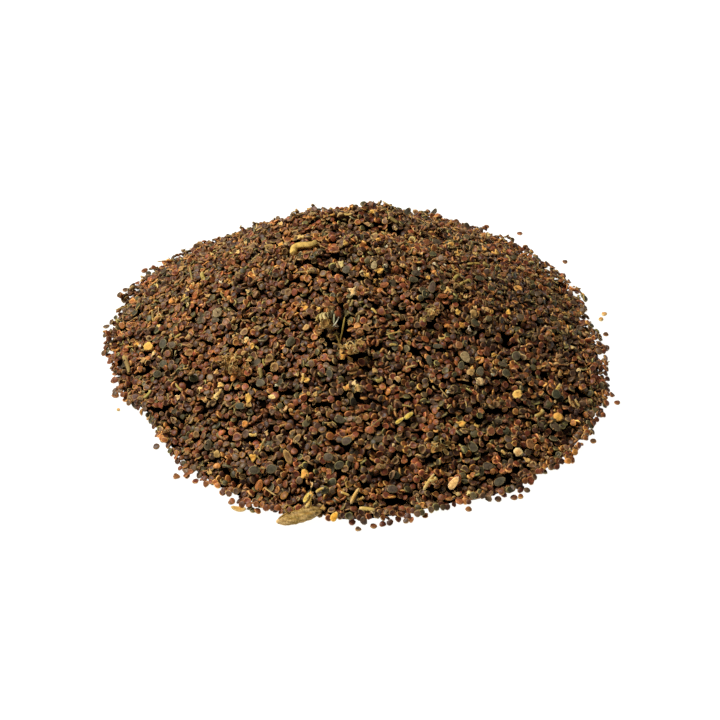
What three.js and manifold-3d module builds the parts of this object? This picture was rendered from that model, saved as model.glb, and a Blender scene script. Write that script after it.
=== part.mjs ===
// A heap of stock seeds as it was tipped out on a flat surface. It is thousands of small flat round
// seeds, with larger ovate ones, chaff flakes and bits of stalk among them, and a few seeds that
// rolled away from its foot. Millimetres, +Z up, resting on z = 0, with the origin under the middle
// of the whole plan. Places on the heap are measured from heapCentre, its own middle.
import * as THREE from "three";
import { mergeVertices } from "three/addons/utils/BufferGeometryUtils.js";
import Module from "manifold-3d";

const wasm = await Module();
wasm.setup();

// Driving dimensions of the mound
const heapCentre = new THREE.Vector2(1.3, 0.4);
const heapRadius = 73;
const reposeAngle = THREE.MathUtils.degToRad(34);
const summitHeight = 37;
const shoulderRounding = 9; // how softly the bank turns into the summit
const footThickness = 0.9; // the lowest layer is one seed thick

// The foot bulges and draws in: [azimuth in degrees, spread in degrees, mm outwards]
const footSwellings = [
  [170, 22, 4.5], [150, 14, 2.5], [212, 13, -3.2], [285, 8, -2],
  [262, 16, 1.2], [320, 25, 1.6], [8, 16, -0.8], [90, 30, 2],
];

// Lobes and hollows of the surface: [x, y, spread in x, spread in y, mm upwards]
const surfaceForms = [
  [4, 27, 8, 6, 5.6], // high end of the ridge at the back
  [-19, 24, 9, 7, 4.6], // its left lobe
  [6, 15, 12, 4, -3], // trough before the ridge
  [0, 2, 22, 9, 2.5], // front dome
  [-10.6, -23.8, 3, 3.6, 2], // clump of webbed seeds
  [-5, -24.5, 2, 4.6, -3.2], // hole beside it
  [-3.6, -34.3, 3.2, 3, 1.7], // lower clump
  [1, -36.3, 2, 2, -2], // hole beside that
  [-37, -22.4, 3.6, 3, 1.5], // clump on the left bank
  [36, -23.3, 3, 4, -1.8], // hollow on the right bank
];

// The mound's surface between the seeds fused on: a triangle lattice with every third point raised
const ringCount = 32;
const coreInset = 0.6; // the core lies this far inside the seeds' outer surface
const bumpHeight = 1.5;
const latticeJitter = 0.24; // of the lattice spacing
const footUnevenness = 0.5; // in and out along the foot

// Sizes of what the heap is made of
const discSeed = { diameter: 2.1, thickness: 0.8, crown: 0.18, sides: 6 };
const ovateSeed = { length: 3.5, width: 2.4, thickness: 1.1, crown: 0.3, taper: 0.16, sides: 7 };
const chaffFlake = { size: 2.9, thickness: 0.7, crown: 0.12, sides: 6 };
const stalkBit = { length: 4.6, diameter: 0.9 };
const fusedOnBanks = 50;
const fusedAtFoot = 58;

// Two pieces large enough to be picked off the heap
const clearance = 0.35; // between them and the heap
const husk = { length: 12.2, width: 4.1, height: 3.1, middle: [-16.9, -72.9], turn: 15, tilt: 3 };
const curledStalk = {
  diameter: 1.7,
  sides: 7,
  steps: 13,
  path: [[-20.3, 1.3], [-20.9, 3.3], [-19.6, 4.9], [-17.6, 3.8], [-15.9, 2.8], [-14.3, 3.1], [-13.3, 4.6]],
};

// Seeds that lie clear of the foot: [azimuth in degrees, mm beyond the foot, diameter]
const strayPlaces = [
  [150, 2.1, 2.2], [158, 1.6, 2], [197, 1.3, 2.4], [202, 3.2, 1.2], [228, 3.9, 2], [229.5, 1.7, 1.8],
  [242, 1.5, 2.1], [272, 1.5, 2.1], [292, 1.5, 2], [302, 1.8, 2.1], [327, 1.9, 2.1], [341, 3.2, 1.9],
  [13.2, 4.1, 2], [11.4, 2.2, 2], [5.6, 1.5, 1.9], [72, 1.6, 2], [58, 4, 2], [50, 7.2, 2.1], [35, 6.6, 2],
];
const paleStrays = [4, 13, 14]; // their numbers, from 1
const looseChaff = {
  azimuth: 244.3, beyond: 2.8, length: 4.7, width: 1.7, thickness: 0.9, crown: 0.2, sides: 8, turn: -14,
};

// A repeatable row of draws between 0 and 1
function seededRandom(seed) {
  let state = seed;
  return () => {
    state = (state + 0x6d2b79f5) | 0;
    let t = Math.imul(state ^ (state >>> 15), 1 | state);
    t = (t + Math.imul(t ^ (t >>> 7), 61 | t)) ^ t;
    return ((t ^ (t >>> 14)) >>> 0) / 4294967296;
  };
}

const bell = (distance, spread) => Math.exp(-0.5 * (distance / spread) ** 2);
const spreadAround = (random, amount) => (2 * random() - 1) * amount;
const polar = (azimuth, radius) =>
  new THREE.Vector2(radius * Math.cos(azimuth), radius * Math.sin(azimuth));

function footRadius(azimuth) {
  const degrees = THREE.MathUtils.radToDeg(azimuth);
  return footSwellings.reduce((radius, [middle, spread, out]) => {
    const away = THREE.MathUtils.euclideanModulo(degrees - middle + 180, 360) - 180;
    return radius + out * bell(away, spread);
  }, heapRadius);
}

// A bank at the angle of repose that rounds off into a broad summit, with the lobes and hollows
function heapHeight(x, y) {
  const inFromFoot = footRadius(Math.atan2(y, x)) - Math.hypot(x, y);
  if (inFromFoot <= 0) return 0;
  const k = shoulderRounding;
  const bank = inFromFoot * Math.tan(reposeAngle);
  const atFoot = k * Math.log(1 + Math.exp(-summitHeight / k));
  const mound = atFoot - k * Math.log(Math.exp(-bank / k) + Math.exp(-summitHeight / k));
  return surfaceForms.reduce(
    (z, [cx, cy, sx, sy, up]) => z + up * bell(x - cx, sx) * bell(y - cy, sy),
    mound,
  );
}

function surfaceNormal(x, y) {
  const step = 1.5;
  const slopeX = (heapHeight(x + step, y) - heapHeight(x - step, y)) / (2 * step);
  const slopeY = (heapHeight(x, y + step) - heapHeight(x, y - step)) / (2 * step);
  return new THREE.Vector3(-slopeX, -slopeY, 1).normalize();
}

function toSolid(geometry) {
  const bare = geometry.clone();
  for (const name of Object.keys(bare.attributes)) if (name !== "position") bare.deleteAttribute(name);
  const merged = mergeVertices(bare, 1e-4);
  return new wasm.Manifold(
    new wasm.Mesh({
      numProp: 3,
      vertProperties: merged.attributes.position.array,
      triVerts: new Uint32Array(merged.index.array),
    }),
  );
}

function toGeometry(solid) {
  const { vertProperties, triVerts, numProp } = solid.getMesh();
  const positions = [];
  for (let i = 0; i < vertProperties.length; i += numProp)
    positions.push(vertProperties[i], vertProperties[i + 1], vertProperties[i + 2]);
  const geometry = new THREE.BufferGeometry()
    .setAttribute("position", new THREE.Float32BufferAttribute(positions, 3))
    .setIndex([...triVerts]);
  geometry.computeVertexNormals();
  return geometry;
}

// The bare mound: rings of 6, 12, 18 ... points make an even triangle lattice over a flat base.
function moundCore() {
  const random = seededRandom(11);
  const positions = [0, 0, heapHeight(0, 0)];
  const index = [];
  const ringStart = (ring) => (ring === 0 ? 0 : 1 + 3 * ring * (ring - 1));
  const ringPoint = (ring, k) => ringStart(ring) + (ring === 0 ? 0 : k % (6 * ring));

  for (let ring = 1; ring <= ringCount; ring++) {
    const atFoot = ring === ringCount;
    for (let k = 0; k < 6 * ring; k++) {
      const azimuth = ((k + spreadAround(random, latticeJitter)) / (6 * ring)) * 2 * Math.PI;
      const outwards = (ring + (atFoot ? 0 : spreadAround(random, latticeJitter))) / ringCount;
      const uneven = atFoot ? spreadAround(random, footUnevenness) : 0;
      const { x, y } = polar(azimuth, (footRadius(azimuth) - coreInset) * outwards + uneven);
      // one lattice point in three is raised, so each bump has six low neighbours
      const raised = (ring + (k % ring)) % 3 === 0;
      const relief = bumpHeight * (raised ? 0.6 + 0.7 * random() : 0.2 * random());
      const surface = heapHeight(x, y) - coreInset + relief;
      positions.push(x, y, atFoot ? footThickness : Math.max(footThickness, surface));
    }
  }
  for (let ring = 1; ring <= ringCount; ring++) {
    for (let sector = 0; sector < 6; sector++) {
      for (let j = 0; j < ring; j++) {
        const outer = sector * ring + j;
        const inner = sector * (ring - 1) + j;
        const [here, next] = [ringPoint(ring, outer), ringPoint(ring, outer + 1)];
        index.push(here, next, ringPoint(ring - 1, inner));
        if (j < ring - 1) index.push(ringPoint(ring - 1, inner), next, ringPoint(ring - 1, inner + 1));
      }
    }
  }

  // the wall down from the last ring, and the flat base
  const baseStart = positions.length / 3;
  const around = 6 * ringCount;
  for (let k = 0; k < around; k++) {
    const top = 3 * ringPoint(ringCount, k);
    positions.push(positions[top], positions[top + 1], 0);
  }
  positions.push(0, 0, 0);
  const baseMiddle = baseStart + around;
  for (let k = 0; k < around; k++) {
    const next = (k + 1) % around;
    const [a, b] = [ringPoint(ringCount, k), ringPoint(ringCount, next)];
    index.push(a, baseStart + k, b, b, baseStart + k, baseStart + next);
    index.push(baseMiddle, baseStart + next, baseStart + k);
  }
  return new THREE.BufferGeometry()
    .setAttribute("position", new THREE.Float32BufferAttribute(positions, 3))
    .setIndex(index);
}

// A thin plate on a closed outline, its two faces crowned to a point in the middle
function crownedPlate(outline, thickness, crown) {
  const count = outline.length;
  const positions = [];
  for (const z of [thickness / 2 - crown, crown - thickness / 2])
    for (const { x, y } of outline) positions.push(x, y, z);
  positions.push(0, 0, thickness / 2, 0, 0, -thickness / 2);
  const index = [];
  for (let k = 0; k < count; k++) {
    const next = (k + 1) % count;
    index.push(k, next, 2 * count);
    index.push(count + next, count + k, 2 * count + 1);
    index.push(k, count + k, next, next, count + k, count + next);
  }
  return new THREE.BufferGeometry()
    .setAttribute("position", new THREE.Float32BufferAttribute(positions, 3))
    .setIndex(index);
}

// Points at equal angles round the origin, each at the radius that the rule gives
const loopOf = (sides, radiusAt) =>
  Array.from({ length: sides }, (_, k) => polar((k / sides) * 2 * Math.PI, radiusAt(k)));

function roundSeed(random, diameter = discSeed.diameter * (0.88 + 0.24 * random())) {
  const outline = loopOf(discSeed.sides, () => (diameter / 2) * (0.95 + 0.1 * random()));
  return crownedPlate(outline, discSeed.thickness, discSeed.crown);
}

function largeSeed(random) {
  const { length, width, thickness, crown, taper, sides } = ovateSeed;
  const grown = 0.85 + 0.3 * random();
  const outline = loopOf(sides, () => grown / 2).map(
    ({ x, y }) => new THREE.Vector2(x * length, y * width * (1 - (2 * taper * x) / grown)),
  );
  return crownedPlate(outline, thickness, crown);
}

function brokenFlake(random) {
  const outline = loopOf(chaffFlake.sides, () => (chaffFlake.size / 2) * (0.6 + 0.6 * random()));
  return crownedPlate(outline, chaffFlake.thickness, chaffFlake.crown);
}

function strawBit(random) {
  const length = stalkBit.length * (0.75 + 0.5 * random());
  const radius = stalkBit.diameter / 2;
  return new THREE.CylinderGeometry(0.8 * radius, 1.1 * radius, length, 5).rotateZ(Math.PI / 2);
}

// Leans a piece, turns it about +Z, and sets it square to the surface of the heap, a little sunk in
function setOnHeap(geometry, place, turn, lean, sunk) {
  const normal = surfaceNormal(place.x, place.y);
  const leaning = new THREE.Quaternion().setFromAxisAngle(new THREE.Vector3(1, 0, 0), lean);
  const turned = new THREE.Quaternion().setFromAxisAngle(new THREE.Vector3(0, 0, 1), turn);
  const upright = new THREE.Quaternion().setFromUnitVectors(new THREE.Vector3(0, 0, 1), normal);
  geometry.applyQuaternion(upright.multiply(turned).multiply(leaning));
  const onSurface = new THREE.Vector3(place.x, place.y, heapHeight(place.x, place.y));
  onSurface.addScaledVector(normal, -sunk);
  return geometry.translate(onSurface.x, onSurface.y, onSurface.z);
}

// Leans and turns a piece, and lays it on the floor or so much above it
function setOnFloor(geometry, place, turn, lean, lift = 0) {
  geometry.rotateX(lean).rotateZ(turn);
  geometry.computeBoundingBox();
  return geometry.translate(place.x, place.y, lift - geometry.boundingBox.min.z);
}

// The dry pod at the front foot: a flattened spindle, pointed at one end and blunt at the other
function huskGeometry(extra = 0) {
  const { length, width, height, middle, turn, tilt } = husk;
  const radiusAlong = (t) => Math.sin(Math.PI * t ** 0.8) ** 0.55 * (1 - 0.25 * (1 - t));
  const steps = 9;
  const profile = Array.from({ length: steps + 1 }, (_, k) => {
    const t = (1 - Math.cos((Math.PI * k) / steps)) / 2; // closer together towards the ends
    const radius = k === 0 || k === steps ? 0 : radiusAlong(t) * (width / 2 + extra);
    return new THREE.Vector2(radius, (t - 0.5) * (length + 2 * extra));
  });
  const geometry = new THREE.LatheGeometry(profile, 8)
    .rotateZ(-Math.PI / 2)
    .scale(1, 1, (height + 2 * extra) / (width + 2 * extra))
    .rotateY(-THREE.MathUtils.degToRad(tilt))
    .rotateZ(THREE.MathUtils.degToRad(turn));
  return geometry.translate(middle[0], middle[1], height / 2 + 0.35);
}

// The hooked bit of stalk on the summit, one round section swept along the surface
function curledStalkGeometry(extra = 0) {
  const radius = curledStalk.diameter / 2;
  const points = curledStalk.path.map(
    ([x, y]) => new THREE.Vector3(x, y, heapHeight(x, y) + radius + 0.1),
  );
  const last = points.length - 1;
  points[0].addScaledVector(points[0].clone().sub(points[1]).normalize(), extra);
  points[last].addScaledVector(points[last].clone().sub(points[last - 1]).normalize(), extra);
  const section = new THREE.Shape(loopOf(curledStalk.sides, () => radius + extra));
  return new THREE.ExtrudeGeometry(section, {
    steps: curledStalk.steps,
    bevelEnabled: false,
    extrudePath: new THREE.CatmullRomCurve3(points, false, "centripetal"),
  });
}

const strayCentres = strayPlaces.map(([azimuthDegrees, beyond]) => {
  const azimuth = THREE.MathUtils.degToRad(azimuthDegrees);
  return polar(azimuth, footRadius(azimuth) + beyond);
});
const chaffAzimuth = THREE.MathUtils.degToRad(looseChaff.azimuth);
const chaffCentre = polar(chaffAzimuth, footRadius(chaffAzimuth) + looseChaff.beyond);

// Circles that fused pieces keep out of: [middle, radius]
const huskThirds = [-4, 0, 4].map((x) => new THREE.Vector2(...husk.middle).add({ x, y: x / 4 }));
const keptClear = [
  ...strayCentres.map((centre) => [centre, 2.7]),
  [chaffCentre, 4.2],
  ...huskThirds.map((middle) => [middle, 3.9]),
  ...curledStalk.path.map(([x, y]) => [new THREE.Vector2(x, y), 2.6]),
];
const isClear = (place) => keptClear.every(([middle, radius]) => place.distanceTo(middle) > radius);

// Larger pieces are spread evenly over the banks by the golden angle, the commonest kinds most often.
function piecesOnBanks() {
  const random = seededRandom(23);
  const makers = [largeSeed, brokenFlake, roundSeed, largeSeed, strawBit, largeSeed, brokenFlake];
  const goldenAngle = Math.PI * (3 - Math.sqrt(5));
  const pieces = [];
  for (let k = 0; k < fusedOnBanks; k++) {
    const azimuth = k * goldenAngle + spreadAround(random, 0.12);
    const place = polar(azimuth, footRadius(azimuth) * 0.95 * Math.sqrt((k + 0.5) / fusedOnBanks));
    const piece = makers[k % makers.length](random);
    const [turn, lean] = [2 * Math.PI * random(), spreadAround(random, 0.7)];
    if (isClear(place)) pieces.push(setOnHeap(piece, place, turn, lean, 0.15));
  }
  return pieces;
}

// Round seeds lie side by side along the foot and give it its uneven outline.
function piecesAtFoot() {
  const random = seededRandom(37);
  const pieces = [];
  for (let k = 0; k < fusedAtFoot; k++) {
    const azimuth = ((k + spreadAround(random, 0.3)) / fusedAtFoot) * 2 * Math.PI;
    const place = polar(azimuth, footRadius(azimuth) + spreadAround(random, 0.7) - 0.2);
    const piece = k % 9 === 4 ? largeSeed(random) : roundSeed(random);
    const [turn, lean] = [2 * Math.PI * random(), spreadAround(random, 0.6)];
    if (isClear(place)) pieces.push(setOnFloor(piece, place, turn, lean, 0.1 + 0.5 * random()));
  }
  return pieces;
}

// The mound with its fused pieces, cut clear of the two loose ones. Scraps and sealed hollows go.
function seedHeap() {
  const fused = wasm.Manifold.union([moundCore(), ...piecesOnBanks(), ...piecesAtFoot()].map(toSolid));
  const bodies = fused
    .subtract(toSolid(huskGeometry(clearance)))
    .subtract(toSolid(curledStalkGeometry(clearance)))
    .simplify(0.05)
    .decompose();
  bodies.sort((a, b) => b.volume() - a.volume());
  return toGeometry(bodies[0]);
}

const materials = {
  brownSeed: new THREE.MeshStandardMaterial({ color: "#5e4130", roughness: 0.62, metalness: 0 }),
  paleSeed: new THREE.MeshStandardMaterial({ color: "#b98f5e", roughness: 0.66, metalness: 0 }),
  dryHusk: new THREE.MeshStandardMaterial({ color: "#8f7b48", roughness: 0.75, metalness: 0 }),
  driedStalk: new THREE.MeshStandardMaterial({ color: "#a08a4a", roughness: 0.7, metalness: 0 }),
};

function addPiece(group, name, geometry, material) {
  const mesh = new THREE.Mesh(geometry, material);
  mesh.name = name;
  group.add(mesh);
}

const heap = new THREE.Group();
heap.position.set(heapCentre.x, heapCentre.y, 0);
addPiece(heap, "seed_heap", seedHeap(), materials.brownSeed);
addPiece(heap, "front_husk", huskGeometry(), materials.dryHusk);
addPiece(heap, "curled_stalk", curledStalkGeometry(), materials.driedStalk);

const strayRandom = seededRandom(53);
strayPlaces.forEach(([, , diameter], k) => {
  const seed = roundSeed(strayRandom, diameter);
  setOnFloor(seed, strayCentres[k], 2 * Math.PI * strayRandom(), spreadAround(strayRandom, 0.25));
  const material = paleStrays.includes(k + 1) ? materials.paleSeed : materials.brownSeed;
  addPiece(heap, `stray_seed_${String(k + 1).padStart(2, "0")}`, seed, material);
});

const chaffOutline = loopOf(looseChaff.sides, () => 0.5).map(
  ({ x, y }) => new THREE.Vector2(x * looseChaff.length, y * looseChaff.width),
);
const chaff = crownedPlate(chaffOutline, looseChaff.thickness, looseChaff.crown);
setOnFloor(chaff, chaffCentre, THREE.MathUtils.degToRad(looseChaff.turn), 0.1);
addPiece(heap, "loose_chaff", chaff, materials.paleSeed);

const group = new THREE.Group();
group.add(heap);
export default group;
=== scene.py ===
# A heap of stock seeds tipped out on a white surface: thousands of flat round seeds settled one on
# another over a dark core, with ovate seeds, empty coats, chaff, straw, crumbs and a dry pod.
import math
import bpy
import numpy as np
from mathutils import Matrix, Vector


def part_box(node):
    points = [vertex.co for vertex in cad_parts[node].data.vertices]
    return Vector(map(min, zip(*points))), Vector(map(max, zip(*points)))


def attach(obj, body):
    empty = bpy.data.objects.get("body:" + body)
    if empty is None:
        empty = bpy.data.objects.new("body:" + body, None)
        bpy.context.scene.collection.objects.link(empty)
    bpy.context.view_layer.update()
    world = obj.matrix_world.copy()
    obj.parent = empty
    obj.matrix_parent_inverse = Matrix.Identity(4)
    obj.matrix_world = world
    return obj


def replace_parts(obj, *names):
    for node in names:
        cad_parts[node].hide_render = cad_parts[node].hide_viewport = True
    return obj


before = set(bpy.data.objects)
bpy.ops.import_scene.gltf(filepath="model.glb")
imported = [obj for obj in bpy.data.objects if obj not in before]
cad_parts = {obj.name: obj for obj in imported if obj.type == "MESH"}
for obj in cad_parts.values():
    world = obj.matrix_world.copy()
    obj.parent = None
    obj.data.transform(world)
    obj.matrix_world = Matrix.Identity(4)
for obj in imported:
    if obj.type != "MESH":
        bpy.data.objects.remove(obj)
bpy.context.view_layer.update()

mm = 0.001  # sizes below are in millimetres, and the scene is in metres
lowest = 0.03  # mm above the floor; no piece but the core goes lower


def linearColour(hexColour):
    # sRGB hex to linear
    parts = [int(hexColour[i:i + 2], 16) / 255 for i in (1, 3, 5)]
    return np.array([c / 12.92 if c <= 0.04045 else ((c + 0.055) / 1.055) ** 2.4 for c in parts])


def allOver(hexColour, verts):
    # one colour at each of a piece's points
    return np.tile(linearColour(hexColour), (len(verts), 1))


def addNode(tree, kind, settings, links=None):
    # a node with its settings (by input name, input number or property) and the links into it
    node = tree.nodes.new(kind)
    for key, value in settings.items():
        if isinstance(key, int) or key in node.inputs:
            node.inputs[key].default_value = value
        else:
            setattr(node, key, value)
    for key, socket in (links or {}).items():
        tree.links.new(socket, node.inputs[key])
    return node


def makePiece(name, verts, faces, material, values):
    # one mesh from arrays in mm, with named values at its points, riding on the heap's body
    mesh = bpy.data.meshes.new(name)
    mesh.vertices.add(len(verts))
    mesh.vertices.foreach_set("co", (np.asarray(verts) * mm).astype(np.float32).ravel())
    mesh.loops.add(faces.size)
    mesh.loops.foreach_set("vertex_index", faces.astype(np.int32).ravel())
    mesh.polygons.add(len(faces))
    mesh.polygons.foreach_set("loop_start", np.arange(0, faces.size, faces.shape[1], dtype=np.int32))
    mesh.update(calc_edges=True)
    mesh.validate()
    mesh.polygons.foreach_set("use_smooth", np.full(len(mesh.polygons), True))
    for key, array in values.items():
        if array.ndim == 1:
            layer = mesh.attributes.new(key, "FLOAT", "POINT")
            layer.data.foreach_set("value", array.astype(np.float32))
        else:
            layer = mesh.attributes.new(key, "FLOAT_COLOR", "POINT")
            rgba = np.ones((len(array), 4), np.float32)
            rgba[:, :3] = array
            layer.data.foreach_set("color", rgba.ravel())
    mesh.materials.append(material)
    piece = bpy.data.objects.new(name, mesh)
    bpy.context.scene.collection.objects.link(piece)
    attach(piece, "root")
    return piece


# camera, floor and light
photoView = {
    "lookAt": (0.4, -4.5, 0.0),  # mm, on the floor
    "elevation": 38.5,
    "distance": 455.0,
    "lens": 76.45,  # mm on a 36 mm sensor
    "pictureSize": 720,  # px, the square that pixel places are given in
}
elevation = math.radians(photoView["elevation"])
lookAt = np.array(photoView["lookAt"])
viewBack = np.array([0, -math.cos(elevation), math.sin(elevation)])
viewUp = np.array([0, math.sin(elevation), math.cos(elevation)])
viewRight = np.array([1.0, 0, 0])
eye = lookAt + photoView["distance"] * viewBack
focalPixels = photoView["lens"] / 36 * photoView["pictureSize"]

cameraData = bpy.data.cameras.new("photoCamera")
cameraData.lens = photoView["lens"]
cameraData.sensor_width = 36
cameraData.clip_end = 30
camera = bpy.data.objects.new("photoCamera", cameraData)
camera.location = eye * mm
camera.rotation_euler = (math.pi / 2 - elevation, 0, 0)
bpy.context.scene.collection.objects.link(camera)
bpy.context.scene.camera = camera

studio = {
    "floorReach": 6000.0,
    "floorWhite": "#fffffc",
    "floorFace": "#8a8a88",
    "floorGlow": 1.0,  # the sheet is lit from below, so it holds no shadows
    "keyAzimuth": 176.0,
    "keyElevation": 57.0,
    "keyDistance": 900.0,
    "keyWidth": 380.0,
    "keyPower": 10.5,
    "keyWhite": "#fff8ec",
    "skyWhite": "#eff6f0",
    "skyStrength": 0.1,
}


def emptyMaterial(name):
    material = bpy.data.materials.new(name)
    material.use_nodes = True
    material.node_tree.nodes.clear()
    return material, material.node_tree


def whiteSheetMaterial():
    # opal acrylic sheet with a light under it: reads as clean paper white, with no shadow on it
    material, tree = emptyMaterial("litWhiteAcrylic")
    shader = addNode(tree, "ShaderNodeBsdfPrincipled", {
        "Base Color": (*linearColour(studio["floorFace"]), 1), "Roughness": 0.8, "Specular IOR Level": 0.2,
        "Emission Color": (*linearColour(studio["floorWhite"]), 1), "Emission Strength": studio["floorGlow"],
    })
    addNode(tree, "ShaderNodeOutputMaterial", {}, {"Surface": shader.outputs[0]})
    return material


reach = studio["floorReach"] * mm
floorMesh = bpy.data.meshes.new("whiteSheet")
floorMesh.from_pydata([(-reach, -reach, 0), (reach, -reach, 0), (reach, reach, 0), (-reach, reach, 0)],
                      [], [(0, 1, 2, 3)])
floorMesh.materials.append(whiteSheetMaterial())
floor = bpy.data.objects.new("whiteSheet", floorMesh)
bpy.context.scene.collection.objects.link(floor)

keyData = bpy.data.lights.new("keyPanel", "AREA")
keyData.size = studio["keyWidth"] * mm
keyData.energy = studio["keyPower"]
keyData.color = linearColour(studio["keyWhite"])
key = bpy.data.objects.new("keyPanel", keyData)
azimuth, height = math.radians(studio["keyAzimuth"]), math.radians(studio["keyElevation"])
keyWay = Vector((math.cos(azimuth) * math.cos(height), math.sin(azimuth) * math.cos(height),
                 math.sin(height)))
key.location = keyWay * studio["keyDistance"] * mm
key.rotation_euler = keyWay.to_track_quat("Z", "Y").to_euler()
bpy.context.scene.collection.objects.link(key)

world = bpy.data.worlds.new("studioSky")
world.use_nodes = True
background = world.node_tree.nodes["Background"]
background.inputs["Color"].default_value = (*linearColour(studio["skyWhite"]), 1)
background.inputs["Strength"].default_value = studio["skyStrength"]
bpy.context.scene.world = world
bpy.context.scene.view_settings.view_transform = "Standard"
print("camera, floor and light are set")


# the heap's form, as its solid has it
heap = {
    "centre": (1.3, 0.4),
    "radius": 73.0,
    "repose": math.radians(34),
    "summit": 37.0,
    "shoulder": 9.0,
    # the foot bulges and draws in: azimuth and spread in degrees, mm outwards
    "footSwellings": [(170, 22, 4.5), (150, 14, 2.5), (212, 13, -3.2), (285, 8, -2),
                      (262, 16, 1.2), (320, 25, 1.6), (8, 16, -0.8), (90, 30, 2)],
    # lobes and hollows: place, spreads, mm upwards
    "surfaceForms": [(4, 27, 8, 6, 5.6), (-19, 24, 9, 7, 4.6), (6, 15, 12, 4, -3), (0, 2, 22, 9, 2.5),
                     (-10.6, -23.8, 3, 3.6, 2), (-5, -24.5, 2, 4.6, -3.2), (-3.6, -34.3, 3.2, 3, 1.7),
                     (1, -36.3, 2, 2, -2), (-37, -22.4, 3.6, 3, 1.5), (36, -23.3, 3, 4, -1.8)],
}


def bell(distance, spread):
    return np.exp(-0.5 * (distance / spread) ** 2)


def footRadius(azimuth):
    # azimuth in radians
    reachOut = heap["radius"] + 0 * azimuth
    for middle, spread, out in heap["footSwellings"]:
        turn = (np.degrees(azimuth) - middle + 180) % 360 - 180
        reachOut = reachOut + out * bell(turn, spread)
    return reachOut


def heapHeight(x, y):
    # height in mm over a place in the frame
    x, y = x - heap["centre"][0], y - heap["centre"][1]
    inside = footRadius(np.arctan2(y, x)) - np.hypot(x, y)
    bank = np.maximum(inside, 0) * math.tan(heap["repose"])
    k, summit = heap["shoulder"], heap["summit"]
    mound = k * math.log(1 + math.exp(-summit / k)) - k * np.log(np.exp(-bank / k) + math.exp(-summit / k))
    for cx, cy, sx, sy, up in heap["surfaceForms"]:
        mound = mound + up * bell(x - cx, sx) * bell(y - cy, sy)
    return np.where(inside > 0, np.maximum(mound, 0), 0)


coatFinish = {
    "cellSize": 0.30,  # mm; the net of cells on a stock seed is 0.05 mm, drawn coarser so that it shows
    "stainSize": 0.75,  # mm, from one blotch to the next
    "pitDepth": 0.03,  # mm
    "wingFrom": 0.35,  # how far out on the seed the papery wing starts to show, and where it is whole
    "wingWhole": 0.95,
}
fibreRelief = 0.05  # mm


def tissueMaterial(name, colourOf, noise, contrast, grain, reliefDepth, surface):
    # what all dry plant tissue here shares: its own colours, mottled by a noise, with a fine relief
    material, tree = emptyMaterial(name)
    place = addNode(tree, "ShaderNodeTexCoord", {}).outputs["Object"]
    body = addNode(tree, "ShaderNodeAttribute", {"attribute_name": "coatColour"})
    wing = addNode(tree, "ShaderNodeAttribute", {"attribute_name": "rimColour"})
    rimness = addNode(tree, "ShaderNodeAttribute", {"attribute_name": "rimness"})
    mixed = addNode(tree, "ShaderNodeMix", {"data_type": "RGBA"},
                    {0: colourOf(tree, rimness.outputs["Fac"]), 6: body.outputs["Color"],
                     7: wing.outputs["Color"]})
    mottle = addNode(tree, "ShaderNodeTexNoise", noise, {"Vector": place})
    shade = addNode(tree, "ShaderNodeMapRange", contrast, {"Value": mottle.outputs[0]})
    stained = addNode(tree, "ShaderNodeVectorMath", {"operation": "SCALE"},
                      {0: mixed.outputs[2], "Scale": shade.outputs[0]})
    relief = addNode(tree, "ShaderNodeBump", {"Distance": reliefDepth * mm, "Strength": 0.8},
                     {"Height": grain(tree, place, mottle.outputs[0])})
    shader = addNode(tree, "ShaderNodeBsdfPrincipled", surface,
                     {"Base Color": stained.outputs[0], "Normal": relief.outputs[0]})
    addNode(tree, "ShaderNodeOutputMaterial", {}, {"Surface": shader.outputs[0]})
    return material


def seedCoatMaterial(name, roughness, stain, gloss):
    # dried seed coat with a net of tiny cells: a dull satin, mottled, with a paler papery wing at the rim
    wing = {"From Min": coatFinish["wingFrom"], "From Max": coatFinish["wingWhole"]}
    net = {"Scale": 1 / (coatFinish["cellSize"] * mm)}
    return tissueMaterial(
        name,
        lambda tree, rimness: addNode(tree, "ShaderNodeMapRange", wing, {"Value": rimness}).outputs[0],
        {"Scale": 1 / (coatFinish["stainSize"] * mm), "Detail": 3.0, "Roughness": 0.65},
        {"From Min": 0.3, "From Max": 0.7, "To Min": 1 - stain, "To Max": 1 + stain},
        lambda tree, place, mottle: addNode(tree, "ShaderNodeTexVoronoi", net,
                                            {"Vector": place}).outputs["Distance"],
        coatFinish["pitDepth"],
        {"Roughness": roughness, "IOR": 1.48, "Specular IOR Level": gloss})


def papery(name, roughness, grainSize, stain, gloss=0.3):
    # dried plant tissue, chaff, husk or straw: matt, fibrous, with darker specks along the grain
    return tissueMaterial(
        name,
        lambda tree, rimness: rimness,
        {"Scale": 1 / (grainSize * mm), "Detail": 4.0, "Roughness": 0.6, "Distortion": 0.6},
        {"From Min": 0.28, "From Max": 0.72, "To Min": 1 - stain, "To Max": 1 + 0.4 * stain},
        lambda tree, place, mottle: mottle,
        fibreRelief,
        {"Roughness": roughness, "IOR": 1.45, "Specular IOR Level": gloss})


satinCoat = seedCoatMaterial("driedSeedCoatSatin", 0.46, 0.55, 0.36)
dullCoat = seedCoatMaterial("driedSeedCoatDull", 0.60, 0.50, 0.25)
shadedLayer = papery("deepSeedLayerPaintedShade", 0.95, 1.0, 0.4, 0.0)  # the seeds deep in the gaps, painted all but black as the shade that fills the gaps
emptyCoatSkin = papery("emptySeedCoatPapery", 0.60, 0.7, 0.35)
chaffSkin = papery("winnowedChaffPapery", 0.75, 0.5, 0.25)
strawSkin = papery("brokenStrawFibrous", 0.60, 0.4, 0.30)
podSkin = papery("driedPodWrinkled", 0.72, 0.55, 0.5)
stalkSkin = papery("driedStalkRough", 0.80, 0.6, 0.30)


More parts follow.
